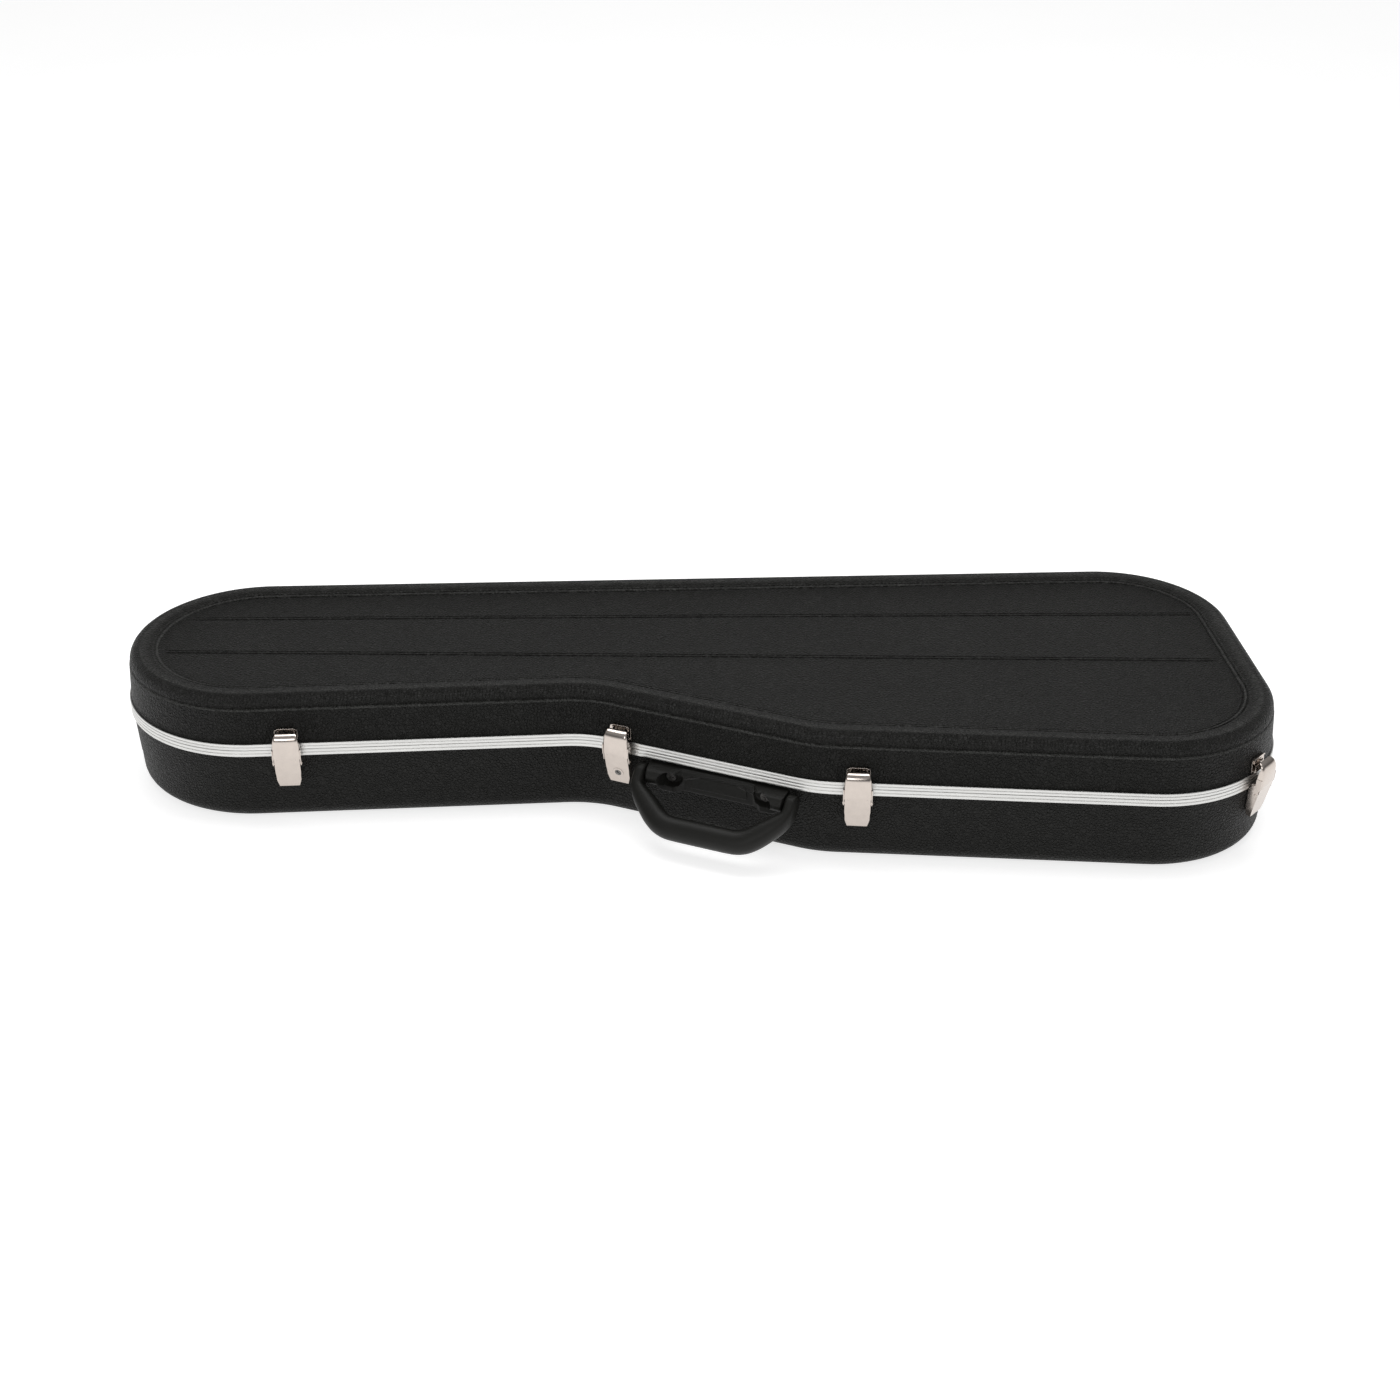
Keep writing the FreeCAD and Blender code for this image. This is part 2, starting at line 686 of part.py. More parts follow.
HANDLE_X = 21.5
SCREW_ROUND = 2.5
SCREW_DROP = 19
GRIP_SIDES = 20


def grip_section(x, reach, angle, half_wide, half_thick):
    """Oval section across the grip's centreline; reach is measured from the pivot."""
    centre = Vector(x, 0, -reach)
    across = Vector(math.cos(angle), 0, math.sin(angle))
    points = []
    for step in range(GRIP_SIDES):
        turn = math.tau * (step + 0.5) / GRIP_SIDES
        wide = across * (half_wide * math.cos(turn))
        points.append(centre + wide + Vector(0, half_thick * math.sin(turn), 0))
    return Part.makePolygon(points + points[:1])


def grip_shape():
    """Trapezoid grip lofted through oval sections, with a lug at each end."""
    lug_x = (value("lug_inner") + value("lug_outer")) / 2
    lug_half = (value("lug_outer") - value("lug_inner")) / 2 - 0.3
    reach = value("grip_reach")
    thick = value("grip_round")
    half = [(lug_x, 3.5, 0, lug_half, 8.4), (lug_x - 0.1, 8, 3, lug_half + 0.1, 8.8),
            (lug_x - 0.9, 11.8, 14, lug_half + 0.5, 9.2), (lug_x - 6, 18.8, 38, 8, 9.9),
            (lug_x - 15.5, 27.5, 45, 9.8, thick - 0.5), (lug_x - 24.5, 36, 46, thick - 0.4, thick - 0.2),
            (lug_x - 32.5, reach - 3, 62, thick - 0.1, thick - 0.1),
            (lug_x - 40.5, reach - 0.4, 80, thick, thick - 0.1), (lug_x - 49.5, reach, 89, thick, thick - 0.1)]
    stations = [(x, down, -angle, wide, deep) for x, down, angle, wide, deep in half]
    stations.append((0, reach, -90, thick, thick - 0.1))
    stations += [(-x, down, angle - 180, wide, deep) for x, down, angle, wide, deep in reversed(half)]
    wires = [grip_section(x, down, math.radians(angle), wide, deep) for x, down, angle, wide, deep in stations]
    return Part.makeLoft(wires, True, True)


def make_handle():
    point, out = station(HANDLE_X)
    frame = wall_frame(point, out, BASE_TILT)
    pivot_out = size("pivot_out")
    drop = size("pivot_drop")
    boss = size("boss_round")
    outer = size("boss_outer")
    inner = size("boss_inner")
    plate = size("handle_plate")
    low = size("handle_plate_drop")
    face = mirrored_points([(outer - 14, -low), (outer, -low + 12), (outer, -drop + boss)])
    pieces = [front_prism(face, 0, -plate), box((-27, 27), (-plate - 0.8, -plate), (-drop - 10, -drop + 5))]
    for start, end in ((inner, outer), (-outer, -inner)):
        pieces.append(cylinder(boss, "x", (start, end), y=-pivot_out, z=-drop))
        pieces.append(box((start, end), (-pivot_out, -plate + 0.5), (-drop - boss, -drop + boss)))
    tools = [cylinder(size("pivot_round") + size("running_gap"), "x", (start, end), y=-pivot_out, z=-drop)
             for start, end in ((outer - 12, outer + 1), (-outer - 1, -outer + 12))]
    for x in (-size("screw_x"), size("screw_x")):
        tools.append(cylinder(6.4, "y", (-30, -plate), x=x, z=-SCREW_DROP))
        tools.append(cylinder(SCREW_ROUND, "y", (-plate, 1), x=x, z=-SCREW_DROP))
    part("handle_plate", cut(fuse(*pieces), *tools), frame)

    backing_low = size("wall") + 0.1
    backing_high = backing_low + 1.5
    nut_high = backing_high + 2.5
    backing = box((-62, 62), (backing_low, backing_high), (-SCREW_DROP - 9, -SCREW_DROP + 9))
    backing_holes = [cylinder(SCREW_ROUND, "y", (0, 9), x=x, z=-SCREW_DROP)
                     for x in (-size("screw_x"), size("screw_x"))]
    part("handle_backing_plate", cut(backing, *backing_holes), frame)
    screws = []
    nuts = []
    for x in (-size("screw_x"), size("screw_x")):
        shank = cylinder(SCREW_ROUND, "y", (-plate, nut_high + 0.6), x=x, z=-SCREW_DROP)
        head = cylinder(4.6, "y", (-plate - 2.4, -plate), x=x, z=-SCREW_DROP)
        recess = box((x - 0.5, x + 0.5), (-plate - 3, -plate - 1.2), (-SCREW_DROP - 2.6, -SCREW_DROP + 2.6))
        cross = box((x - 2.6, x + 2.6), (-plate - 3, -plate - 1.2), (-SCREW_DROP - 0.5, -SCREW_DROP + 0.5))
        screws.append(cut(fuse(shank, head), recess, cross))
        nut = cylinder(4.5, "y", (backing_high, nut_high), x=x, z=-SCREW_DROP)
        nuts.append(cut(nut, cylinder(SCREW_ROUND, "y", (0, 12), x=x, z=-SCREW_DROP)))
        base_holes.append(hole_shape(frame, as_size(x).value, -SCREW_DROP, SCREW_ROUND))
    part("handle_screws", group(screws), frame)
    part("handle_nuts", group(nuts), frame)

    pivot = frame * shift(0, -value("pivot_out"), -value("pivot_drop"))
    grip_place = pivot * Placement(Vector(), Rotation(Vector(1, 0, 0), -value("grip_lean")))
    bar = doc.addObject("Part::Feature", "grip_bar")
    bar.Shape = grip_shape()
    lugs = [cylinder(size("lug_round"), "x", (start, end))
            for start, end in ((size("lug_inner"), size("lug_outer")), (-size("lug_outer"), -size("lug_inner")))]
    bores = [cylinder(size("pivot_round"), "x", (start, end))
             for start, end in ((60, size("lug_outer") - 2.5), (-size("lug_outer") + 2.5, -60))]
    part("handle_grip", cut(fuse(bar, *lugs), *bores), grip_place)
    pins = [cylinder(size("pivot_round"), "x", (start, end))
            for start, end in ((outer - 11.5, size("lug_outer") - 2.6), (-size("lug_outer") + 2.6, -outer + 11.5))]
    part("handle_pivot_pins", group(pins), grip_place)
    relief = Part.makeBox(132, 8, 24, Vector(-66, value("wall") - 0.5, -SCREW_DROP - 12))
    relief.Placement = frame
    return relief


# ---------------------------------------------------------------- padding

# The base's padding is cut from straight blocks: the stretch of X, then of Y, that each takes.
FOAM_BLOCKS = {
    "foam_head": ((-560, -285), (-240, 240)),
    "foam_neck_front": ((-285, 90), (-240, -32)),
    "foam_neck_floor": ((-285, 90), (-32, 34)),
    "foam_pocket": ((-285, 90), (34, 240)),
    "foam_tail": ((90, 560), (-240, 240)),
}
FOAM_JOINT = 0.05

# The guitar's hollow, as unrounded corners with radii: body, neck and head, then the pocket.
BODY_HOLLOW = [(90, 130, 60), (90, -130, 60), (265, -112, 150), (505, -212, 110), (505, 212, 110),
               (265, 112, 150)]
NECK_HOLLOW = [(-300, 34, 4), (-300, -32, 4), (100, -32, 4), (100, 34, 4)]
HEAD_HOLLOW = [(-478, 72, 35), (-478, -34, 35), (-285, -34, 25), (-285, 72, 25)]
POCKET_HOLLOW = [(-240, 110.5, 7), (-240, 57.5, 7), (60, 57.5, 7), (60, 110.5, 7)]
POCKET_RECESS = [(-244, 115, 6), (-244, 55, 6), (64, 55, 6), (64, 115, 6)]


def hollows(inset, raised):
    """The space left in the base's padding, before or after it is lined."""
    top = 80
    floors = ((BODY_HOLLOW, "body_floor"), (NECK_HOLLOW, "neck_floor"), (HEAD_HOLLOW, "head_floor"),
              (POCKET_HOLLOW, "pocket_floor"), (POCKET_RECESS, "ledge_floor"))
    shapes = [slab(corners, inset, value(floor) + raised, top) for corners, floor in floors]
    return shapes[0].multiFuse(shapes[1:])


def make_padding(relief):
    depth = WALL + value("foam_gap")
    plush = value("plush")
    foam_top = value("foam_top")
    outer = hollows(0, 0)
    inner = hollows(plush, plush)
    block = tub(CASE, base_sections(depth, foam_top))
    foam = block.cut(outer).cut(relief)
    for label, ((start, end), (front, back)) in FOAM_BLOCKS.items():
        corner = Vector(start + FOAM_JOINT, front + FOAM_JOINT, 0)
        region = Part.makeBox(end - start - 2 * FOAM_JOINT, back - front - 2 * FOAM_JOINT, SEAM, corner)
        part_from_shape(label, foam.common(region))
    cover_inset = value("base_draft") * (SEAM - foam_top) + depth
    cover = slab(CASE, cover_inset, foam_top, foam_top + plush)
    lining = outer.common(slab(CASE, cover_inset, 0, foam_top + plush)).fuse(cover).cut(inner)
    part_from_shape("base_plush", lining.removeSplitter())

    rest = box((-216, -166), (-29.5, 31.5), (size("neck_floor") + size("plush") + 0.1, 52))
    part("neck_rest", cut(rest, cylinder(27, "x", (-230, -150), y=1, z=70)))

    draft = value("lid_draft")
    low = value("lid_plush_low")
    ceiling = value("ceiling")
    gap = WALL + value("lid_plush_gap")

    def side(height, inward):
        return (draft * (height - SEAM) + gap + inward, height)

    outside = tub(CASE, [side(low, 0), side(112, 0), side(ceiling + plush, 1.4)])
    inside = tub(CASE, [side(low - 1, plush), side(111, plush), side(ceiling, plush + 1.4)])
    part_from_shape("lid_plush", outside.cut(inside))
    pad_high = value("panel_height") - WALL - value("pad_gap")
    part_from_shape("lid_foam", slab(CASE, value("pad_inset"), ceiling + plush + 0.05, pad_high))


def make_pocket_lid():
    """Flap over the accessory pocket, hinged at its back edge by a strip of tape."""
    middle = size("flap_middle_x")
    half = size("flap_length") / 2
    hinge = size("flap_hinge_y")
    front = hinge - size("flap_width")
    top = size("flap_top")
    low = top - size("flap_thick")
    part("pocket_lid", group([box((middle - half, middle + half), (front, hinge), (low, top))]))
    tab = box((middle - 7, middle + 7), (front - 0.8, front + 16), (top, top + 1))
    part("pocket_lid_tab", group([tab]))
    tape = box((middle - half + 4, middle + half - 4), (hinge + 0.4, hinge + 1.3), (low, top + 6))
    part("pocket_hinge_tape", group([tape]))


# ---------------------------------------------------------------- shells and band

def make_shells():
    top = value("seam_height") - value("slot_web") - 0.2
    outside = tub(CASE, base_sections(0, top))
    inside = tub(CASE, base_sections(WALL, top + 1))
    part_from_shape("base_shell", drill(outside.cut(inside), base_holes))
    low = value("seam_height") + value("slot_web") + 0.2
    outside = tub(CASE, lid_outer_sections(low))
    inside = tub(CASE, lid_inner_sections(low - 1))
    part_from_shape("lid_shell", drill(outside.cut(inside), lid_holes))


def make_bands():
    out = -value("band_out")
    gap = value("seam_gap")
    web = value("slot_web")
    slot = value("slot_inset")
    groove = value("groove_inset")
    low = ring(out, value("band_inset"), value("band_low"), SEAM - gap)
    low = low.cut(ring(-0.02, slot, value("band_low") - 1, SEAM - web))
    low = low.cut(ring(groove, groove + value("groove_width"), value("groove_floor"), SEAM + 1))
    part_from_shape("base_valance", low)
    tongue = value("tongue_inset")
    high = ring(out, value("lid_band_inset"), SEAM + gap, value("band_high"))
    high = high.cut(ring(-0.02, slot, SEAM + web, value("band_high") + 1))
    high = high.fuse(ring(tongue, tongue + value("tongue_width"), value("tongue_low"), SEAM + gap + 0.5))
    part_from_shape("lid_valance", high.removeSplitter())


# ---------------------------------------------------------------- build, check and write

make_latches()
make_hinges()
make_padding(make_handle())
make_pocket_lid()
make_shells()
make_bands()
doc.recompute()

for item in doc.Objects:
    if {"Invalid", "Error"} & set(item.State):
        raise RuntimeError(f"{item.Name} ({item.Label}) failed: {item.State}")
for item in parts:
    if item.Shape.isNull() or not item.Shape.isValid() or item.Shape.Volume <= 0:
        raise RuntimeError(f"{item.Label} has no valid solid")

os.makedirs("parts", exist_ok=True)
for item in parts:
    item.Shape.exportStep(f"parts/{item.Label}.step")
    extent = item.Shape.BoundBox
    print(f"{item.Label:24s} {len(item.Shape.Solids):3d} solids {item.Shape.Volume:12.1f} mm3"
          f"  x {extent.XMin:8.1f} {extent.XMax:8.1f}  y {extent.YMin:8.1f} {extent.YMax:8.1f}"
          f"  z {extent.ZMin:7.1f} {extent.ZMax:7.1f}")
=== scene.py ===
import json
import math

import bmesh
import bpy
import numpy as np
from mathutils import Matrix, Vector
from mathutils.geometry import delaunay_2d_cdt


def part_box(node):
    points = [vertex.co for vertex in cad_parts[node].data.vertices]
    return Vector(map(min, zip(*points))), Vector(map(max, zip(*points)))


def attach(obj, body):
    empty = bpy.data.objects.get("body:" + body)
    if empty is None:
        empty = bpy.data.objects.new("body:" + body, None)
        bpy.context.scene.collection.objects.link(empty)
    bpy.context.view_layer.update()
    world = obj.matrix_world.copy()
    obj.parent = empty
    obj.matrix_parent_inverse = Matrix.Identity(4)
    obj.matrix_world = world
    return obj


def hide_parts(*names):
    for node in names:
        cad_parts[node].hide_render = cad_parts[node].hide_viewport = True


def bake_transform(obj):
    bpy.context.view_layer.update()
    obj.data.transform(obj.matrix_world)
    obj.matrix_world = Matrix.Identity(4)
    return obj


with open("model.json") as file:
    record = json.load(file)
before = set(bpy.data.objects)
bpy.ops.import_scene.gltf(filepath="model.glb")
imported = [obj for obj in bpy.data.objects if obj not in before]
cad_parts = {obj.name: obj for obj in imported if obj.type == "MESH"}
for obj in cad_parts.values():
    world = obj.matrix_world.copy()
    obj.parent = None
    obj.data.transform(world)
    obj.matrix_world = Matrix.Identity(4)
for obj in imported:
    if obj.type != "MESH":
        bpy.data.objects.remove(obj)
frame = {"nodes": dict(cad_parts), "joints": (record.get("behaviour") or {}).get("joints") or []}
NODES = frame["nodes"]
JOINTS = {joint["name"]: joint for joint in frame["joints"]}
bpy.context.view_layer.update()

MM = 0.001

# Driving dimensions in millimetres, as the CAD part has them: plan corners with their radii.
CASE = [(-530, 187, 124), (-530, -67, 124), (-96, -54, 90), (104, -151, 119), (535, -202, 117),
        (520, 187, 118)]
SEAM = 76
PANEL = 125
LID_TOP = 128
BASE_DRAFT = 0.08
LID_DRAFT = 0.05
WALL = 3


# ---------------------------------------------------------------- meshes

def add_mesh(name, points, faces, look, sharp):
    """A named object from points in millimetres, with edges sharper than an angle kept hard."""
    mesh = bpy.data.meshes.new(name)
    mesh.from_pydata((np.asarray(points, float) * MM).tolist(), [], faces)
    solid = bmesh.new()
    solid.from_mesh(mesh)
    bmesh.ops.recalc_face_normals(solid, faces=solid.faces)
    solid.to_mesh(mesh)
    solid.free()
    return add_object(name, mesh, look, sharp)


def add_object(name, mesh, look, sharp):
    mesh.shade_smooth()
    mesh.set_sharp_from_angle(angle=math.radians(sharp))
    mesh.materials.clear()
    mesh.materials.append(LOOKS[look])
    item = bpy.data.objects.new(name, mesh)
    bpy.context.scene.collection.objects.link(item)
    return item


def mark_painted_highlight(item, amounts):
    """How far the surface's colour is painted pale as a highlight, at each point."""
    field = item.data.attributes.new("painted_light", "FLOAT", "POINT")
    field.data.foreach_set("value", np.asarray(amounts, np.float32))


def fit(item, body, *nodes):
    """The piece moves with a body and stands for these nodes."""
    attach(item, body)
    if nodes:
        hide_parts(*nodes)
    return item


def outline(corners, inset, arc_steps=28, line_step=14):
    """Points on an outline of tangent lines and arcs, set in from the corners' outline."""
    arcs = []
    for number, (x, y, radius) in enumerate(corners):
        corner = np.array([x, y], float)
        before = np.array(corners[number - 1][:2], float)
        after = np.array(corners[(number + 1) % len(corners)][:2], float)
        come = (corner - before) / np.linalg.norm(corner - before)
        leave = (after - corner) / np.linalg.norm(after - corner)
        turn = math.atan2(come[0] * leave[1] - come[1] * leave[0], come @ leave)
        side = math.copysign(1, turn)
        reach = radius * math.tan(abs(turn) / 2)
        centre = corner - come * reach + np.array([-come[1], come[0]]) * side * radius
        begin = math.atan2(-come[0], come[1])
        angles = begin + turn * np.linspace(0, 1, arc_steps + 1)
        ray = np.stack([np.cos(angles), np.sin(angles)], 1)
        arcs.append((centre + ray * (side * radius), ray * inset))
    points = []
    for number, (arc, shrink) in enumerate(arcs):
        following = arcs[(number + 1) % len(arcs)]
        points.extend(arc - shrink)
        gap = np.linalg.norm(following[0][0] - arc[-1])
        count = max(1, round(gap / line_step))
        for step in range(1, count):
            share = step / count
            start = arc[-1] - shrink[-1]
            finish = following[0][0] - following[1][0]
            points.append(start + (finish - start) * share)
    return np.array(points)


def level(corners, inset, height, **detail):
    """The outline's points, all at one height."""
    flat = outline(corners, inset, **detail)
    return np.column_stack([flat, np.full(len(flat), float(height))])


def strips(loops, closed=False):
    """Quads between loops that have the same number of points."""
    size = len(loops[0])
    faces = []
    for row in range(len(loops) if closed else len(loops) - 1):
        low = row * size
        high = (row + 1) % len(loops) * size
        for step in range(size):
            after = (step + 1) % size
            faces.append((low + step, low + after, high + after, high + step))
    return faces


def capped(loops):
    """Quads between loops, with one face over the first loop and one over the last."""
    size = len(loops[0])
    last = (len(loops) - 1) * size
    return strips(loops) + [list(range(size)), list(range(last, last + size))]


def quarter(inset, height, reach, rise, steps):
    """Section points round a quarter bend, from upright at (inset, height) to level."""
    turns = [math.radians(90 / steps * step) for step in range(steps + 1)]
    return [(inset + reach * (1 - math.cos(turn)), height + rise * math.sin(turn)) for turn in turns]


def grid_faces(rows, columns, first=0):
    """Quads over a grid of points that is stored row by row."""
    return [(first + a * columns + b, first + a * columns + b + 1, first + (a + 1) * columns + b + 1,
             first + (a + 1) * columns + b) for a in range(rows - 1) for b in range(columns - 1)]


def grid_rim(rows, columns):
    """Numbers of the points round a grid's edge."""
    last = rows - 1
    rim = list(range(columns))
    rim += [a * columns + columns - 1 for a in range(1, rows)]
    rim += [last * columns + b for b in range(columns - 2, -1, -1)]
    rim += [a * columns for a in range(last - 1, 0, -1)]
    return rim


def smooth_step(value, low, high):
    """0 up to low, 1 from high on, and an even curve between them."""
    share = np.clip((value - low) / (high - low), 0, 1)
    return share * share * (3 - 2 * share)


def wall_frame(joint, out, drop):
    """Frame on the base's wall, worked out from a joint that stands off it.

    Its X is along the wall, -Y outward and Z up the drafted wall.
    """
    across = -Vector(JOINTS[joint]["axis"])
    inward = Vector((0, 0, 1)).cross(across)
    turn = Matrix((across, inward, (0, 0, 1))).transposed().to_4x4()
    turn = turn @ Matrix.Rotation(math.atan(BASE_DRAFT), 4, "X")
    pivot = Vector(JOINTS[joint]["pos_m"]) / MM
    return Matrix.Translation(pivot) @ turn @ Matrix.Translation((0, out, drop))


def moved(matrix, points):
    """The points carried by a matrix."""
    flat = np.array(matrix)
    return np.asarray(points, float) @ flat[:3, :3].T + flat[:3, 3]


# ---------------------------------------------------------------- materials

class Graph:
    """A material's nodes, added in order."""

    def __init__(self, name):
        self.material = bpy.data.materials.new(name)
        self.material.use_nodes = True
        self.tree = self.material.node_tree
        self.shader = self.tree.nodes["Principled BSDF"]
        self.place = self.add("ShaderNodeTexCoord").outputs["Object"]

    def add(self, kind, settings=None, **inputs):
        node = self.tree.nodes.new(kind)
        for key, value in (settings or {}).items():
            setattr(node, key, value)
        for key, value in inputs.items():
            self.put(node.inputs[key.replace("_", " ")], value)
        return node

    def put(self, socket, value):
        if isinstance(value, bpy.types.NodeSocket):
            self.tree.links.new(value, socket)
        else:
            socket.default_value = value

    def shade(self, **inputs):
        for key, value in inputs.items():
            self.put(self.shader.inputs[key.replace("_", " ")], value)

    def noise(self, scale, detail=3.0, roughness=0.5, place=None):
        return self.add("ShaderNodeTexNoise", Vector=place or self.place, Scale=scale, Detail=detail,
                        Roughness=roughness).outputs["Fac"]

    def stretched(self, x, y, z):
        node = self.add("ShaderNodeMapping", Vector=self.place)
        node.inputs["Scale"].default_value = (x, y, z)
        return node.outputs["Vector"]

    def ramp(self, factor, *stops):
        node = self.add("ShaderNodeValToRGB", Fac=factor)
        elements = node.color_ramp.elements
        while len(elements) < len(stops):
            elements.new(0.5)
        for element, (position, colour) in zip(elements, stops):
            element.position = position
            element.color = (*colour, 1) if len(colour) == 3 else colour
        return node.outputs["Color"]

    def scale(self, factor, low, high, start=0.0, end=1.0):
        """Brings a factor that runs from start to end to the range from low to high."""
        node = self.add("ShaderNodeMapRange", Value=factor, To_Min=low, To_Max=high, From_Min=start,
                        From_Max=end)
        return node.outputs["Result"]

    def math(self, operation, first, second=0.5):
        node = self.add("ShaderNodeMath", {"operation": operation})
        self.put(node.inputs[0], first)
        self.put(node.inputs[1], second)
        return node.outputs[0]

    def average(self, first, second):
        return self.math("ADD", self.math("MULTIPLY", first), self.math("MULTIPLY", second))

    def bump(self, height, distance):
        node = self.add("ShaderNodeBump", Height=height, Distance=distance, Strength=1.0)
        return node.outputs["Normal"]


def grey(value):
    return (value, value, value)


def moulded_plastic(name, tone, warm, grain_size, depth, rough):
    """Black moulded plastic with a pebbled grain; its colour is painted pale in specks, a painted
    highlight, by the painted-highlight amount the mesh carries.
    """
    graph = Graph(name)
    warp = graph.add("ShaderNodeTexNoise", Vector=graph.place, Scale=0.4 / grain_size, Detail=2.0)
    bent = graph.add("ShaderNodeVectorMath", {"operation": "MULTIPLY_ADD"})
    graph.put(bent.inputs[0], warp.outputs["Color"])
    bent.inputs[1].default_value = (grain_size * 0.9,) * 3
    graph.put(bent.inputs[2], graph.place)
    cells = graph.add("ShaderNodeTexVoronoi", {"feature": "DISTANCE_TO_EDGE"}, Vector=bent.outputs[0],
                      Scale=1 / grain_size)
    pebble = graph.scale(cells.outputs["Distance"], 0.0, 1.0, end=0.3)
    fine = graph.noise(3.2 / grain_size, 3.0, 0.65)
    height = graph.math("MULTIPLY_ADD", fine, 0.45)
    graph.put(height.node.inputs[2], pebble)
    cloud = graph.noise(9.0, 4.0, 0.6)
    # painted highlight: the mesh's painted-highlight amount, broken into specks, mixes a pale colour
    # into the plastic's own tone
    painted_light = graph.add("ShaderNodeAttribute", {"attribute_name": "painted_light"}).outputs["Fac"]
    speck = graph.scale(graph.noise(1.0 / grain_size, 2.0, 0.6), 0.42, 1.0, 0.44, 0.62)
    painted_light = graph.math("MULTIPLY", painted_light, speck)
    plain_tone = graph.ramp(cloud, (0.3, [tone * 0.86 * c for c in warm]),
                       (0.7, [tone * 1.14 * c for c in warm]))
    tint = graph.add("ShaderNodeMix", {"data_type": "RGBA"})
    graph.put(tint.inputs["Factor"], painted_light)
    graph.put(tint.inputs[6], plain_tone)
    tint.inputs[7].default_value = (*[tone * 9 * c for c in (1, 1, 0.95)], 1)
    graph.shade(
        Base_Color=tint.outputs[2],
        Roughness=graph.scale(graph.math("MULTIPLY", pebble, cloud), rough + 0.1, rough - 0.06),
        Normal=graph.bump(height, depth),
    )
    graph.shader.inputs["Specular IOR Level"].default_value = 0.2
    return graph.material


def plated(name, colour, rough, streak):
    """Nickel or steel: a soft sheen with faint rubbing marks and a little tarnish."""
    graph = Graph(name)
    cloud = graph.noise(130.0, 4.0, 0.6)
    rub = graph.noise(1.0, 2.0, 0.5, graph.stretched(900, 900, 5200))
    graph.shade(
        Base_Color=graph.ramp(cloud, (0.3, [c * 0.93 for c in colour]), (0.7, colour)),
        Metallic=1.0,
        Roughness=graph.scale(graph.average(cloud, rub), rough * 0.8, rough * 1.25),
        Normal=graph.bump(rub, streak),
    )
    return graph.material


def drawn_aluminium(name):
    """Extruded band: fine streaks along its length, slight scuffs."""
    graph = Graph(name)
    streak = graph.noise(1.0, 2.0, 0.6, graph.stretched(12, 12, 9000))
    scuff = graph.noise(60.0, 5.0, 0.7)
    graph.shade(
        Base_Color=graph.ramp(streak, (0.3, (0.50, 0.50, 0.49)), (0.7, (0.76, 0.755, 0.735))),
        Metallic=1.0,
        Roughness=graph.scale(scuff, 0.28, 0.44),
        Normal=graph.bump(streak, 0.00004),
    )
    return graph.material


def pile(name, tone, size, sheen):
    """Short plush pile over padding."""
    graph = Graph(name)
    tuft = graph.noise(1 / size, 4.0, 0.7)
    brush = graph.noise(24.0, 3.0, 0.55)
    graph.shade(
        Base_Color=graph.ramp(graph.average(tuft, brush), (0.32, [c * 0.55 for c in tone]),
                              (0.68, [c * 1.3 for c in tone])),
        Roughness=0.95,
        Normal=graph.bump(tuft, size * 0.9),
    )
    graph.shader.inputs["Sheen Weight"].default_value = sheen
    graph.shader.inputs["Sheen Roughness"].default_value = 0.4
    graph.shader.inputs["Specular IOR Level"].default_value = 0.1
    return graph.material


def woven(name, tone, pitch):
    """Ribbon or tape: a fine ribbed weave."""
    graph = Graph(name)
    wave = graph.add("ShaderNodeTexWave", Vector=graph.place, Scale=1 / pitch / 6.3, Distortion=0.6)
    cloud = graph.noise(500.0, 3.0)
    graph.shade(
        Base_Color=graph.ramp(cloud, (0.3, [c * 0.7 for c in tone]), (0.7, tone)),
        Roughness=0.8,
        Normal=graph.bump(wave.outputs["Fac"], pitch * 0.3),
    )
    graph.shader.inputs["Sheen Weight"].default_value = 0.3
    return graph.material


LOOKS = {
    "shell_black": moulded_plastic("shell_black", 0.0056, (1, 0.985, 0.82), 0.0030, 0.0013, 0.42),
    "handle_black": moulded_plastic("handle_black", 0.0082, (1, 0.985, 0.85), 0.0006, 0.00003, 0.36),
    "band_aluminium": drawn_aluminium("band_aluminium"),
    "nickel": plated("nickel", (0.56, 0.50, 0.455), 0.15, 0.000004),
    "steel": plated("steel", (0.17, 0.165, 0.16), 0.36, 0.000008),
    "plush": pile("plush", (0.040, 0.040, 0.043), 0.0011, 0.35),
    "ribbon": woven("ribbon", (0.03, 0.03, 0.032), 0.0007),
}


# ---------------------------------------------------------------- lid and base shells

# Double grooves pressed into the lid, each as (start, middle, finish), and their section as
# (distance from its middle, height): a narrow bead stands between the two grooves. They die out
# over the length RIB_FADE at each end.
RIBS = [((-499, 112), (13, 97.5), (502.5, 81.4)), ((-504, 43), (9, 13), (508.7, -17.7))]
RIB_SECTION = [(-5.0, 0), (-3.4, 0), (-2.1, -1.4), (-0.9, 0.1), (0, 0.35), (0.9, 0.1), (2.1, -1.4),
               (3.4, 0), (5.0, 0)]
RIB_FADE = 7


def rib_lines(ends):
    """Lines along a rib: a list of points with heights for each point of its section."""
    start = np.array(ends[0], float)
    finish = np.array(ends[-1], float)
    along = (finish - start) / np.linalg.norm(finish - start)
    across = np.array([-along[1], along[0]])
    length = np.linalg.norm(finish - start)
    near = [0, 3, RIB_FADE]
    stations = [*near, *np.linspace(16, length - 16, 60), *(length - step for step in reversed(near))]
    middle = np.array(ends[1], float) - (start + finish) / 2
    sag = middle @ across
    lines = []
    for offset, height in RIB_SECTION:
        line = []
        for distance in stations:
            from_end = min(distance, length - distance)
            fade = float(smooth_step(from_end, 0, RIB_FADE))
            width = 0.35 + 0.65 * fade
            bow = sag * (1 - (2 * distance / length - 1) ** 2)
            point = start + along * distance + across * (offset * width + bow)
            line.append((point[0], point[1], PANEL + height * fade))
        lines.append(line)
    return lines


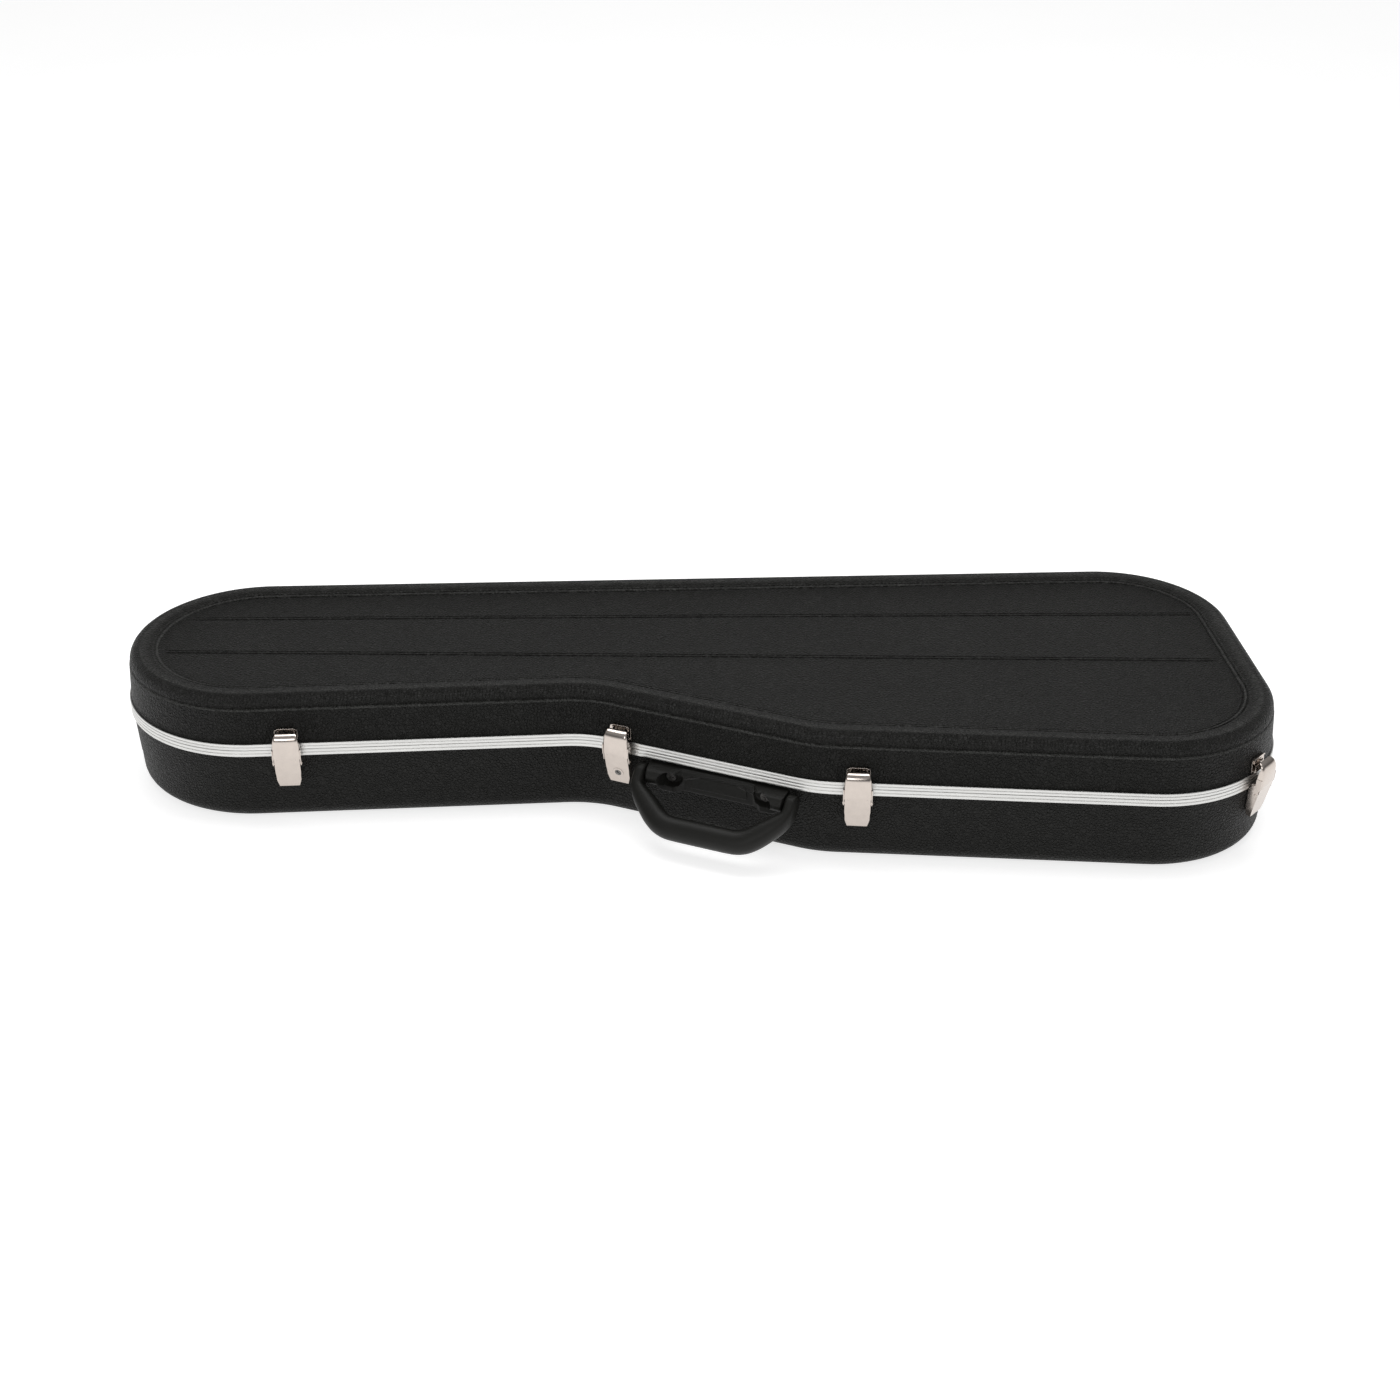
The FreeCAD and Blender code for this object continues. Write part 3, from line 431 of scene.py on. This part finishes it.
def panel_faces(loop):
    """The panel inside its edge loop: rib points, and triangles that number them -1, -2 and so on."""
    points = [tuple(p) for p in loop]
    count = len(loop)
    edges = [(step, (step + 1) % count) for step in range(count)]
    for ends in RIBS:
        for line in rib_lines(ends):
            low = len(points)
            points.extend(line)
            edges.extend((low + step, low + step + 1) for step in range(len(line) - 1))
    flat = [Vector(point[:2]) for point in points]
    made, _, triangles, origins, _, _ = delaunay_2d_cdt(flat, edges, [list(range(count))], 1, 1e-6)
    extra = []
    number = {}
    for index, (place, origin) in enumerate(zip(made, origins)):
        if origin and origin[0] < count:
            number[index] = origin[0]
        else:
            height = points[origin[0]][2] if origin else PANEL
            extra.append((place.x, place.y, height))
            number[index] = -len(extra)
    return extra, [[number[i] for i in triangle] for triangle in triangles]


def lid_profile():
    """The lid's section: inset, height, and the height that it is softened towards at the head.

    It runs from the panel's edge over the bead and crest, down outside and up inside.
    """
    rows = [(36, PANEL), (33.5, PANEL), (31.8, PANEL), (30.9, 124.2), (30, 124.25), (29.3, 125.7),
            (28.4, 126.05), (27.6, 125.95), (26.8, 124.9), (25.9, 125.3), (25.1, 126.35), (23.5, 126.95),
            (21, 127.5), (17, 127.92), (13.5, LID_TOP)]
    # at the head the groove and bead fade towards an even ramp from the panel's edge to the crest
    foot, run, rise = 31.8, 6.7, 1.4
    rows = [(inset, height, PANEL + (foot - inset) / run * rise if 25 <= inset <= 31 else height)
            for inset, height in rows]
    wall = quarter(2.85, LID_TOP - 9, 9, 9, 8)[::-1]
    wall += [(3.0, 117.9), (3.3, 117.0), (3.5, 116.4), (3.4, 116.15), (2.9, 115.75), (2.4, 115.3),
             (2.05, 114.75), (1.93, 114.1), (1.92, 113.4)]
    wall += [(LID_DRAFT * (height - SEAM), height) for height in (108, 96, 84, 78.1)]
    wall += [(LID_DRAFT * (height - SEAM) + WALL, height) for height in (78.1, 84, 98, 112.9)]
    wall += quarter(LID_DRAFT * (113 - SEAM) + WALL, 113, 9, 9, 6)[1:]
    return rows + [(inset, height, None) for inset, height in wall]


# Painted highlight: how pale the lid's colour is painted along its upward-facing ledge, crest and bead,
# by the inset of the row.
PAINTED_HIGHLIGHT_ROWS = {3.4: 1.2, 2.9: 2.6, 2.4: 2.6, 2.05: 1.4, 13.5: 0.8, 17: 0.6, 21: 0.3, 25.1: 0.7, 27.6: 0.8,
             28.4: 1.5, 29.3: 1.2}
# Painted light: the top's colour is painted paler than the walls', as if lit from above.
PAINTED_TOP_LIGHT = 0.16
PAINTED_WALL_LIGHT = 0.02


def lid_shell():
    plan = outline(CASE, 0)
    size = len(plan)
    keen = 0.3 + 0.7 * smooth_step(plan[:, 0], -500, -440)
    loops = []
    for inset, height, soft in lid_profile():
        loop = level(CASE, inset, height)
        if soft is not None:
            loop[:, 2] = soft + (height - soft) * keen
        loops.append(loop)
    points = np.concatenate(loops)
    faces = strips(loops)
    extra, cover = panel_faces(loops[0])
    total = len(points)
    faces += [[i if i >= 0 else total - i - 1 for i in face] for face in cover]
    points = np.concatenate([points, np.array(extra)])
    faces.append(list(range((len(loops) - 1) * size, len(loops) * size)))
    item = add_mesh("lid_shell_moulded", points, faces, "shell_black", 24)
    tall = points[:, 2]
    # Painted light: the top paler than the walls, the ledge, crest and bead rows as painted highlights,
    # rib beads pale, and rib grooves left unpainted as painted shade.
    painted_light = np.where(tall > LID_TOP - 8, PAINTED_TOP_LIGHT, PAINTED_WALL_LIGHT)
    for row, (inset, _, _) in enumerate(lid_profile()):
        if inset in PAINTED_HIGHLIGHT_ROWS:
            painted_light[row * size:(row + 1) * size] = PAINTED_HIGHLIGHT_ROWS[inset]
    ribs = np.arange(len(points)) >= total
    on_rib = tall[ribs] - PANEL
    painted_light[ribs] = np.select([on_rib > 0.2, on_rib < -0.3], [1.0, 0], painted_light[ribs])
    mark_painted_highlight(item, painted_light)
    fit(item, "lid", "lid_shell")


def base_shell():
    """Outside wall with a slight step low down, underside, and the wall's inside."""
    rows = [(BASE_DRAFT * (SEAM - height), height) for height in (74, 60, 46, 36, 33)]
    rows += [(3.5, 31.9), (3.54, 31.3), (3.7, 30.7), (3.86, 30.1), (4.0, 29.4), (4.12, 28.2), (4.42, 24),
             (4.75, 18)]
    rows += quarter(5.1, 14, 14, -14, 9) + [(21, 0), (24, 0)]
    inner = [(24, WALL), (18.5, WALL)] + quarter(5.1 + WALL, 14, 14 - WALL, WALL - 14, 6)[::-1]
    inner += [(BASE_DRAFT * (SEAM - height) + WALL, height) for height in (30, 50, 74)]
    loops = [level(CASE, inset, height) for inset, height in reversed(rows)]
    loops += [level(CASE, inset, height) for inset, height in reversed(inner)]
    item = add_mesh("base_shell_moulded", np.concatenate(loops), capped(loops), "shell_black", 30)
    fit(item, "base", "base_shell")


# ---------------------------------------------------------------- aluminium band

def ridge(low, high):
    """One ridge of the band's outside, from its low edge up."""
    return [(-0.72, low), (-1.06, low + 0.14), (-1.2, low + 0.42),
            (-1.2, high - 0.42), (-1.06, high - 0.14), (-0.72, high)]


def band(name, section, body, node):
    loops = [level(CASE, inset, height) for inset, height in section]
    fit(add_mesh(name, np.concatenate(loops), strips(loops, True), "band_aluminium", 40), body, node)


def bands():
    # each profile's outside, then the rest of its section round the tongue or its slot
    lower = ridge(69.5, 72.55) + [(-0.7, 72.75)] + ridge(72.95, 75.9)
    lower += [(4.5, 75.9), (4.5, 72.5), (7.5, 72.5), (7.5, 75.9), (8.7, 75.9), (9, 75.6), (9, 69.5),
              (3.6, 69.5), (3.6, 74.2), (-0.02, 74.2), (-0.02, 69.5)]
    band("base_band", lower, "base", "base_valance")
    upper = ridge(76.1, 79.05) + [(-0.7, 79.25)] + ridge(79.45, 82)
    upper += [(-0.02, 82), (-0.02, 77.8), (3.6, 77.8), (3.6, 82), (7.2, 82), (7.5, 81.7), (7.5, 76.1),
              (6.9, 76.1), (6.9, 73.6), (6.6, 73.3), (5.4, 73.3), (5.1, 73.6), (5.1, 76.1)]
    band("lid_band", upper, "lid", "lid_valance")


# ---------------------------------------------------------------- padding

def remeshed(name, nodes, voxel, passes, look):
    """A rounded closed form over CAD solids: joined, remeshed to even quads, smoothed."""
    joined = bmesh.new()
    for node in nodes:
        joined.from_mesh(NODES[node].data)
    bmesh.ops.remove_doubles(joined, verts=joined.verts, dist=1e-6)
    mesh = bpy.data.meshes.new(name)
    joined.to_mesh(mesh)
    joined.free()
    item = add_object(name, mesh, look, 180)
    remesh = item.modifiers.new("even", "REMESH")
    remesh.mode = "VOXEL"
    remesh.voxel_size = voxel * MM
    remesh.use_smooth_shade = True
    smooth = item.modifiers.new("soft", "SMOOTH")
    smooth.factor = 0.6
    smooth.iterations = passes
    done = bpy.data.meshes.new_from_object(item.evaluated_get(bpy.context.evaluated_depsgraph_get()))
    item.modifiers.clear()
    item.data = done
    done.shade_smooth()
    done.materials.clear()
    done.materials.append(LOOKS[look])
    return item


def padding():
    blocks = [node for node in NODES if node.startswith("foam_")]
    item = remeshed("base_lining", [*blocks, "base_plush"], 3.0, 8, "plush")
    fit(item, "base", "base_plush", *blocks)
    item = remeshed("neck_support", ["neck_rest"], 1.5, 5, "plush")
    fit(item, "base", "neck_rest")


def lid_lining():
    """Padded plush against the lid's wall and ceiling, with a rolled lower edge."""
    outside, inside = 4.35, 6.1
    foot = LID_DRAFT * (84 - SEAM)
    rows = [(4.9 + foot, 83.6), (4.75 + foot, 83.2), (4.4 + foot, 83.5)]
    rows += [(outside + LID_DRAFT * (height - SEAM), height) for height in (92, 104, 109)]
    rows += quarter(outside + LID_DRAFT * (109 - SEAM), 109, 12, 12, 6)[1:]
    loops = [level(CASE, inset, height) for inset, height in reversed(rows)]
    inner = [(inside + LID_DRAFT * (height - SEAM), height) for height in (84.2, 92, 100)]
    inner += quarter(inside + LID_DRAFT * (100 - SEAM), 100, 15, 14, 8)[1:]
    inner += [(26, 113.9), (36, 113.6)]
    loops += [level(CASE, inset, height) for inset, height in inner]
    item = add_mesh("lid_lining", np.concatenate(loops), capped(loops), "plush", 60)
    fit(item, "lid", "lid_plush", "lid_foam")


def ribbon(name, path, left, right, columns, thick):
    """A strip of ribbon that follows a path of (y, z) points, from left to right."""
    across = np.linspace(left, right, columns + 1)
    points = [(x, y, z) for y, z in path for x in across]
    item = add_mesh(name, points, grid_faces(len(path), columns + 1), "ribbon", 60)
    solid = item.modifiers.new("thick", "SOLIDIFY")
    solid.thickness = thick * MM
    solid.offset = 0
    return item


def pocket():
    low, high = (np.array(corner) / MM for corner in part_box("pocket_lid"))
    corner = 5
    corners = [(x, y, corner) for x, y in ((low[0], high[1]), (low[0], low[1]), (high[0], low[1]),
                                           (high[0], high[1]))]
    rows = [(4.5, low[2]), (1.2, low[2]), (0.3, low[2] + 0.35), (0, low[2] + 1.0), (0, high[2] - 1.1),
            (0.35, high[2] - 0.4), (1.2, high[2] - 0.05), (3.0, high[2] - 0.1), (3.9, high[2] - 0.45),
            (4.8, high[2] - 0.1)]
    loops = [level(corners, inset, height, arc_steps=8) for inset, height in rows]
    flap = add_mesh("pocket_flap", np.concatenate(loops), capped(loops), "plush", 40)
    fit(flap, "pocket_lid", "pocket_lid")

    # pull tab: a ribbon folded into a flat loop over the flap's front edge
    tab_low, tab_high = (np.array(corner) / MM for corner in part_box("pocket_lid_tab"))
    bed = high[2]
    curl = 0.42
    crease = tab_low[1] + 0.5
    run = tab_high[1] - tab_low[1] - 0.5
    shares = np.linspace(0, 1, 12)
    path = [(tab_high[1] - run * share, bed + 0.2) for share in shares[:-1]]
    path += [(crease - curl * math.sin(turn), bed + 0.62 - curl * math.cos(turn))
             for turn in np.linspace(0, math.pi, 7)]
    path += [(crease + run * share, bed + 1.04 - 0.45 * smooth_step(share, 0.1, 1)
              + 0.12 * math.sin(9 * share)) for share in shares[1:]]
    tab = ribbon("pocket_pull_tab", path, tab_low[0], tab_high[0], 6, 0.15)
    fit(tab, "pocket_lid", "pocket_lid_tab")

    # hinge tape: glued on the flap's back edge and up the padded wall behind it
    tape_low, tape_high = (np.array(corner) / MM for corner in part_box("pocket_hinge_tape"))
    wall = tape_high[1] - 0.15
    lap = 8
    curl = 0.9
    path = [(high[1] - lap + lap * share, high[2] + 0.2) for share in np.linspace(0, 1, 7)]
    path += [(wall - curl * math.cos(turn), high[2] + 1.1 - curl * math.sin(turn))
             for turn in np.linspace(math.pi / 2, 0, 6)]
    path += [(wall, height) for height in np.linspace(high[2] + 1.6, tape_high[2] + 0.8, 6)]
    tape = ribbon("pocket_tape", path, tape_low[0], tape_high[0], 60, 0.12)
    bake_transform(tape)
    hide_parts("pocket_hinge_tape")


# ---------------------------------------------------------------- handle

# Places on the wall: x from the handle's middle, heights from a line PIVOT_DROP above its pivots.
PIVOT_OUT = 9.8
PIVOT_DROP = 17.5
GRIP_LEAN = 50
LUG_X = 73.5
PLATE_HALF = 67.5
PLATE_LOW = -34
PLATE_HIGH = -9.0
PLATE_CORNER = (14, 12)
PLATE_EDGE = 2.2
BOSS_ROUND = 8.5
SCREW_X = 46
SCREW_DROP = 19
SCOOP_ROUND = 11.5


def handle_grip():
    """One smooth bar with a rounded lug at each end, swept through superelliptic sections."""
    # x, reach from the pivot, angle, half width, half thickness, squareness
    half = [(LUG_X, -9, 0, 3.6, 1.2, 3.4), (LUG_X, -8.2, 0, 4.6, 3.7, 3.4),
            (LUG_X, -6, 0, 5.2, 6.7, 3.6), (LUG_X, -2.5, 0, 5.45, 8.6, 3.8),
            (LUG_X, 2, 0, 5.5, 9.0, 3.6), (LUG_X, 6.5, 2, 5.6, 9.1, 3.2),
            (LUG_X - 0.5, 11.5, 14, 5.9, 9.4, 2.8), (LUG_X - 3, 15.8, 30, 7.2, 9.8, 2.5),
            (LUG_X - 8, 21.5, 42, 9.0, 10.3, 2.4), (LUG_X - 16, 29, 45, 10.2, 10.7, 2.3),
            (LUG_X - 24.5, 37, 46, 10.7, 10.9, 2.3), (LUG_X - 32, 42.2, 60, 10.9, 10.9, 2.3),
            (LUG_X - 39.5, 44.6, 78, 11, 10.9, 2.3), (LUG_X - 48, 45, 88, 11, 10.9, 2.3),
            (LUG_X - 62, 45, 90, 11, 10.9, 2.3)]
    rows = [(x, reach, -angle, wide, thick, power) for x, reach, angle, wide, thick, power in half]
    rows += [(-x, reach, angle - 180, wide, thick, power)
             for x, reach, angle, wide, thick, power in reversed(half)]
    rows = np.array(rows)
    spaced = np.concatenate([[0], np.cumsum(np.hypot(np.diff(rows[:, 0]), np.diff(rows[:, 1])))])
    between = [np.linspace(a, b, 4, endpoint=False) for a, b in zip(spaced[:-1], spaced[1:])]
    places = np.concatenate([*between, spaced[-1:]])
    rows = np.stack([np.interp(places, spaced, column) for column in rows.T], 1)
    for _ in range(3):
        rows[1:-1] = (rows[:-2] + 2 * rows[1:-1] + rows[2:]) / 4
    sides = 32
    turns = np.radians(np.arange(sides) * 360 / sides)
    loops = []
    for x, reach, angle, wide, thick, power in rows:
        side = np.sign(np.cos(turns)) * np.abs(np.cos(turns)) ** (2 / power) * wide
        fore = np.sign(np.sin(turns)) * np.abs(np.sin(turns)) ** (2 / power) * thick
        angle = math.radians(angle)
        loops.append(np.stack([x + side * math.cos(angle), fore, -reach + side * math.sin(angle)], 1))
    place = wall_frame("handle_swing", 0, 0) @ Matrix.Rotation(math.radians(-GRIP_LEAN), 4, "X")
    points = moved(place, np.concatenate(loops))
    item = add_mesh("handle_grip_moulded", points, capped(loops), "handle_black", 50)
    fit(item, "handle", "handle_grip")


def plate_relief(x, z, low):
    """How far the handle plate stands out from the wall at each point of its face."""
    far = np.abs(x)
    boss = PIVOT_OUT + np.sqrt(np.maximum(BOSS_ROUND ** 2 - (z + PIVOT_DROP) ** 2, 0))
    ends = smooth_step(far, 33, 43)
    skirt = 3.2 + 3.5 * smooth_step(far, 30, 50) * smooth_step(z, PLATE_LOW, -22)
    middle = 1 - smooth_step(far, 34, 42)
    arch_height = -11.0 - 11.5 * (far / 40) ** 2
    arch = 1.5 * np.exp(-((z - arch_height) / 1.1) ** 2) * middle
    above = 1.3 * smooth_step(z, arch_height, arch_height + 2.5) * middle
    blank = 0.8 * smooth_step(27.6 - far, 0, 0.8) * smooth_step(z, -28.2, -27.4)
    blank *= smooth_step(-14.6 - z, 0, 0.8)
    out = np.maximum(skirt + arch + above + blank, boss * ends + skirt * (1 - ends))
    away = np.hypot((far - SCREW_X) / np.where(far < SCREW_X, 1.75, 1), z + SCREW_DROP)
    scoop = 3 + 17 * smooth_step(away, 5.4, SCOOP_ROUND)
    out = np.where(away < SCOOP_ROUND, np.minimum(out, scoop), out)
    edge = np.minimum.reduce([PLATE_HALF - far, z - low, PLATE_HIGH - z])
    share = np.clip(edge / PLATE_EDGE, 0, 1)
    return out * 0.55 + out * 0.45 * np.sqrt(1 - (1 - share) ** 2)


def handle_plate():
    """Moulded plate: a boss at each end with a scooped screw recess, an arched ridge, a blank panel."""
    columns = np.linspace(-PLATE_HALF, PLATE_HALF, 217)
    x, share = np.meshgrid(columns, np.linspace(0, 1, 61), indexing="ij")
    wide, tall = PLATE_CORNER
    low = PLATE_LOW + tall * np.clip((np.abs(x) - PLATE_HALF + wide) / wide, 0, 1) ** 1.3
    z = low + (PLATE_HIGH - low) * share
    front = np.stack([x, -plate_relief(x, z, low), z], 2).reshape(-1, 3)
    rim = grid_rim(*x.shape)
    total = len(front)
    size = len(rim)
    faces = grid_faces(*x.shape)
    faces += [(rim[k], rim[(k + 1) % size], total + (k + 1) % size, total + k) for k in range(size)]
    faces.append([total + k for k in range(size)])
    points = np.concatenate([front, front[rim] * (1, 0, 1)])
    place = wall_frame("handle_swing", PIVOT_OUT, PIVOT_DROP)
    item = add_mesh("handle_plate_moulded", moved(place, points), faces, "handle_black", 38)
    fit(item, "base", "handle_plate")


# ---------------------------------------------------------------- pressed latch parts

# Places on a latch: x from its middle, heights from a line LEVER_DROP above the lever's pin.
LEVER_OUT = 8.5
LEVER_DROP = 3
CLAW_PIN = (8.48, -9.93)
EAR_ROUND = 2.4
CLAW_SHEET = 0.9


def channel(path, thick):
    """A closed pressed channel of sheet metal, from rows that hold the face's out and height,
    the half width, the flange's out, the corner's radius and the face's crown."""
    rows = np.array(path, float)
    run = np.gradient(rows[:, :2], axis=0)
    run /= np.linalg.norm(run, axis=1)[:, None]
    inward = np.stack([-run[:, 1], run[:, 0]], 1)
    turns = np.radians(np.linspace(0, 90, 6))

    def surface(shrink):
        points = []
        for (out, height, half, back, corner, crown), (x_in, z_in) in zip(rows, inward):
            front = out + x_in * shrink
            z = height + z_in * shrink
            wide = half - shrink
            back = min(back, front - 0.05)
            bend = max(min(corner - shrink, front - back), 0.04)
            side = [(wide, back), (wide, (back + front - bend) / 2)]
            flat = wide - bend
            side += [(flat + bend * math.cos(t), front - bend + bend * math.sin(t)) for t in turns]
            side += [(flat * share, front + crown * (1 - share ** 2)) for share in (0.75, 0.5, 0.25)]
            whole = side + [(0, front + crown)] + [(-x, y) for x, y in reversed(side)]
            points.append([(x, -y, z) for x, y in whole])
        return np.array(points)

    outer = surface(0)
    inner = surface(thick)
    count, wide = outer.shape[:2]
    points = np.concatenate([outer.reshape(-1, 3), inner.reshape(-1, 3)])
    total = count * wide
    faces = grid_faces(count, wide) + [face[::-1] for face in grid_faces(count, wide, total)]
    rim = grid_rim(count, wide)
    faces += [(rim[k], rim[(k + 1) % len(rim)], total + rim[(k + 1) % len(rim)], total + rim[k])
              for k in range(len(rim))]
    return points, faces


def plate_piece(edge, low, high):
    """A flat side plate: its edge as (out, height) between two x."""
    size = len(edge)
    points = [(x, -out, z) for x in (low, high) for out, z in edge]
    faces = [tuple(range(size)), tuple(range(2 * size - 1, size - 1, -1))]
    faces += [(k, (k + 1) % size, size + (k + 1) % size, size + k) for k in range(size)]
    return points, faces


def gather(*pieces):
    """Several pieces' points and faces as one list of each."""
    points, faces = [], []
    for some, more in pieces:
        faces += [tuple(len(points) + i for i in face) for face in more]
        points += [tuple(p) for p in some]
    return points, faces


def rounded(item, width):
    """Small round edges on a pressed piece."""
    bevel = item.modifiers.new("rounded", "BEVEL")
    bevel.width = width * MM
    bevel.segments = 2
    bevel.limit_method = "ANGLE"
    bevel.angle_limit = math.radians(50)
    return item


def claw(number):
    """Claw: a crowned channel bent over at its top, with an ear at each side round the claw pin."""
    path = [(11.7, -4.35, 12.75, 7.6, 1.6, 0.1), (12.25, -4.1, 12.9, 7.2, 2.0, 0.2),
            (12.45, -3.3, 13, 7.0, 2.2, 0.3), (12.5, 0, 12.95, 7.0, 2.3, 0.35),
            (12.5, 4, 12.75, 7.0, 2.4, 0.35), (12.4, 8, 12.45, 7.2, 2.4, 0.35),
            (12.2, 11.5, 12.1, 7.7, 2.4, 0.3), (11.7, 14.4, 11.75, 8.2, 2.3, 0.25),
            (10.8, 16.7, 11.3, 8.2, 2.2, 0.2), (9.4, 18.5, 10.7, 7.6, 2.1, 0.12),
            (7.7, 19.6, 9.9, 6.4, 1.8, 0.06), (6.0, 20.1, 9.2, 5.2, 1.4, 0),
            (4.6, 20.2, 8.6, 4.2, 1.0, 0)]
    ear = [(12.2, -3.5), (10.9, -6.5)]
    ear += [(CLAW_PIN[0] + EAR_ROUND * math.cos(turn), CLAW_PIN[1] + EAR_ROUND * math.sin(turn))
            for turn in np.radians(np.linspace(-20, -180, 12))]
    ear += [(6.3, -6), (7.0, -2), (7.0, 6), (12.2, 6)]
    near, far = 12.05, 12.98
    points, faces = gather(channel(path, CLAW_SHEET), plate_piece(ear, near, far),
                           plate_piece(ear, -far, -near))
    place = wall_frame(f"lever_{number}_hinge", LEVER_OUT, LEVER_DROP)
    item = add_mesh(f"claw_{number}_pressed", moved(place, points), faces, "nickel", 45)
    fit(rounded(item, 0.15), f"claw_{number}", f"claw_{number}")


# ---------------------------------------------------------------- CAD metalwork

def soften(node, width, look):
    """Finishes a CAD solid in place: joined facets, small rounded edges, even shading."""
    item = NODES[node]
    item.data.materials.clear()
    item.data.materials.append(LOOKS[look])
    weld = item.modifiers.new("joined", "WELD")
    weld.merge_threshold = 0.01 * MM
    bevel = item.modifiers.new("rounded", "BEVEL")
    bevel.width = width * MM
    bevel.segments = 3
    bevel.limit_method = "ANGLE"
    bevel.angle_limit = math.radians(35)
    bevel.use_clamp_overlap = True
    normals = item.modifiers.new("even", "WEIGHTED_NORMAL")
    normals.keep_sharp = False


def metalwork():
    for node in NODES:
        if node.startswith(("lever_", "claw_pin", "keeper_", "latch_base_", "hinge_")):
            soften(node, 0.45, "nickel")
    soften("lock_barrel", 0.15, "nickel")
    soften("lock_plug", 0.15, "steel")
    for node in ("handle_backing_plate", "handle_screws", "handle_nuts", "lock_cam",
                 "handle_pivot_pins"):
        soften(node, 0.2, "steel")


# ---------------------------------------------------------------- stage

def floor_piece():
    """A wide floor just under the case, glowing a little so that it stays as pale as the photo's."""
    reach = 30.0
    drop = -0.0005
    mesh = bpy.data.meshes.new("floor")
    corners = ((-reach, -reach), (reach, -reach), (reach, reach), (-reach, reach))
    mesh.from_pydata([(x, y, drop) for x, y in corners], [], [(0, 1, 2, 3)])
    graph = Graph("floor")
    cloud = graph.noise(3.0, 2.0)
    graph.shade(Base_Color=graph.ramp(cloud, (0.3, grey(0.60)), (0.7, grey(0.62))), Roughness=0.9)
    graph.shade(Emission_Color=(1, 1, 1, 1), Emission_Strength=0.72)
    mesh.materials.append(graph.material)
    floor = bpy.data.objects.new("floor", mesh)
    bpy.context.scene.collection.objects.link(floor)


def studio():
    """What the metal mirrors: white low down, dark just above the horizon, grey overhead."""
    world = bpy.data.worlds.new("studio")
    bpy.context.scene.world = world
    world.use_nodes = True
    tree = world.node_tree
    place = tree.nodes.new("ShaderNodeTexCoord")
    split = tree.nodes.new("ShaderNodeSeparateXYZ")
    shade = tree.nodes.new("ShaderNodeValToRGB")
    tree.links.new(place.outputs["Generated"], split.inputs[0])
    tree.links.new(split.outputs["Z"], shade.inputs["Fac"])
    tree.links.new(shade.outputs["Color"], tree.nodes["Background"].inputs["Color"])
    stops = shade.color_ramp.elements
    stops.new(0.5)
    for stop, (position, value) in zip(stops, ((0.05, 1.0), (0.24, 0.12), (0.72, 0.42))):
        stop.position = position
        stop.color = (value, value, value, 1)
    tree.nodes["Background"].inputs["Strength"].default_value = 0.9


def lamps():
    for name, place, aim, width, depth, power in (
            ("overhead", (0.1, 0.5, 2.4), (0, 0, 0), 2.6, 1.6, 42),
            ("front", (-0.9, -2.4, 1.5), (0, 0, 0.05), 1.6, 1.0, 16)):
        light = bpy.data.lights.new(name, "AREA")
        light.shape = "RECTANGLE"
        light.size = width
        light.size_y = depth
        light.energy = power
        lamp = bpy.data.objects.new(name, light)
        bpy.context.scene.collection.objects.link(lamp)
        lamp.location = place
        lamp.rotation_mode = "QUATERNION"
        lamp.rotation_quaternion = (Vector(aim) - Vector(place)).to_track_quat("-Z", "Y")


def photo_camera():
    """The camera that the photo was solved for."""
    camera = bpy.data.objects.new("camera", bpy.data.cameras.new("camera"))
    bpy.context.scene.collection.objects.link(camera)
    camera.data.lens = 59.87
    camera.data.sensor_width = 36
    camera.location = (-0.0732, -1.9282, 1.1112)
    camera.rotation_mode = "QUATERNION"
    target = Vector((0.0107, 0.0468, 0.060))
    camera.rotation_quaternion = (target - Vector(camera.location)).to_track_quat("-Z", "Y")
    bpy.context.scene.camera = camera
    bpy.context.scene.view_settings.view_transform = "Standard"


lid_shell()
base_shell()
bands()
padding()
lid_lining()
pocket()
handle_grip()
handle_plate()
for latch in range(1, 5):
    claw(latch)
metalwork()
floor_piece()
studio()
lamps()
photo_camera()
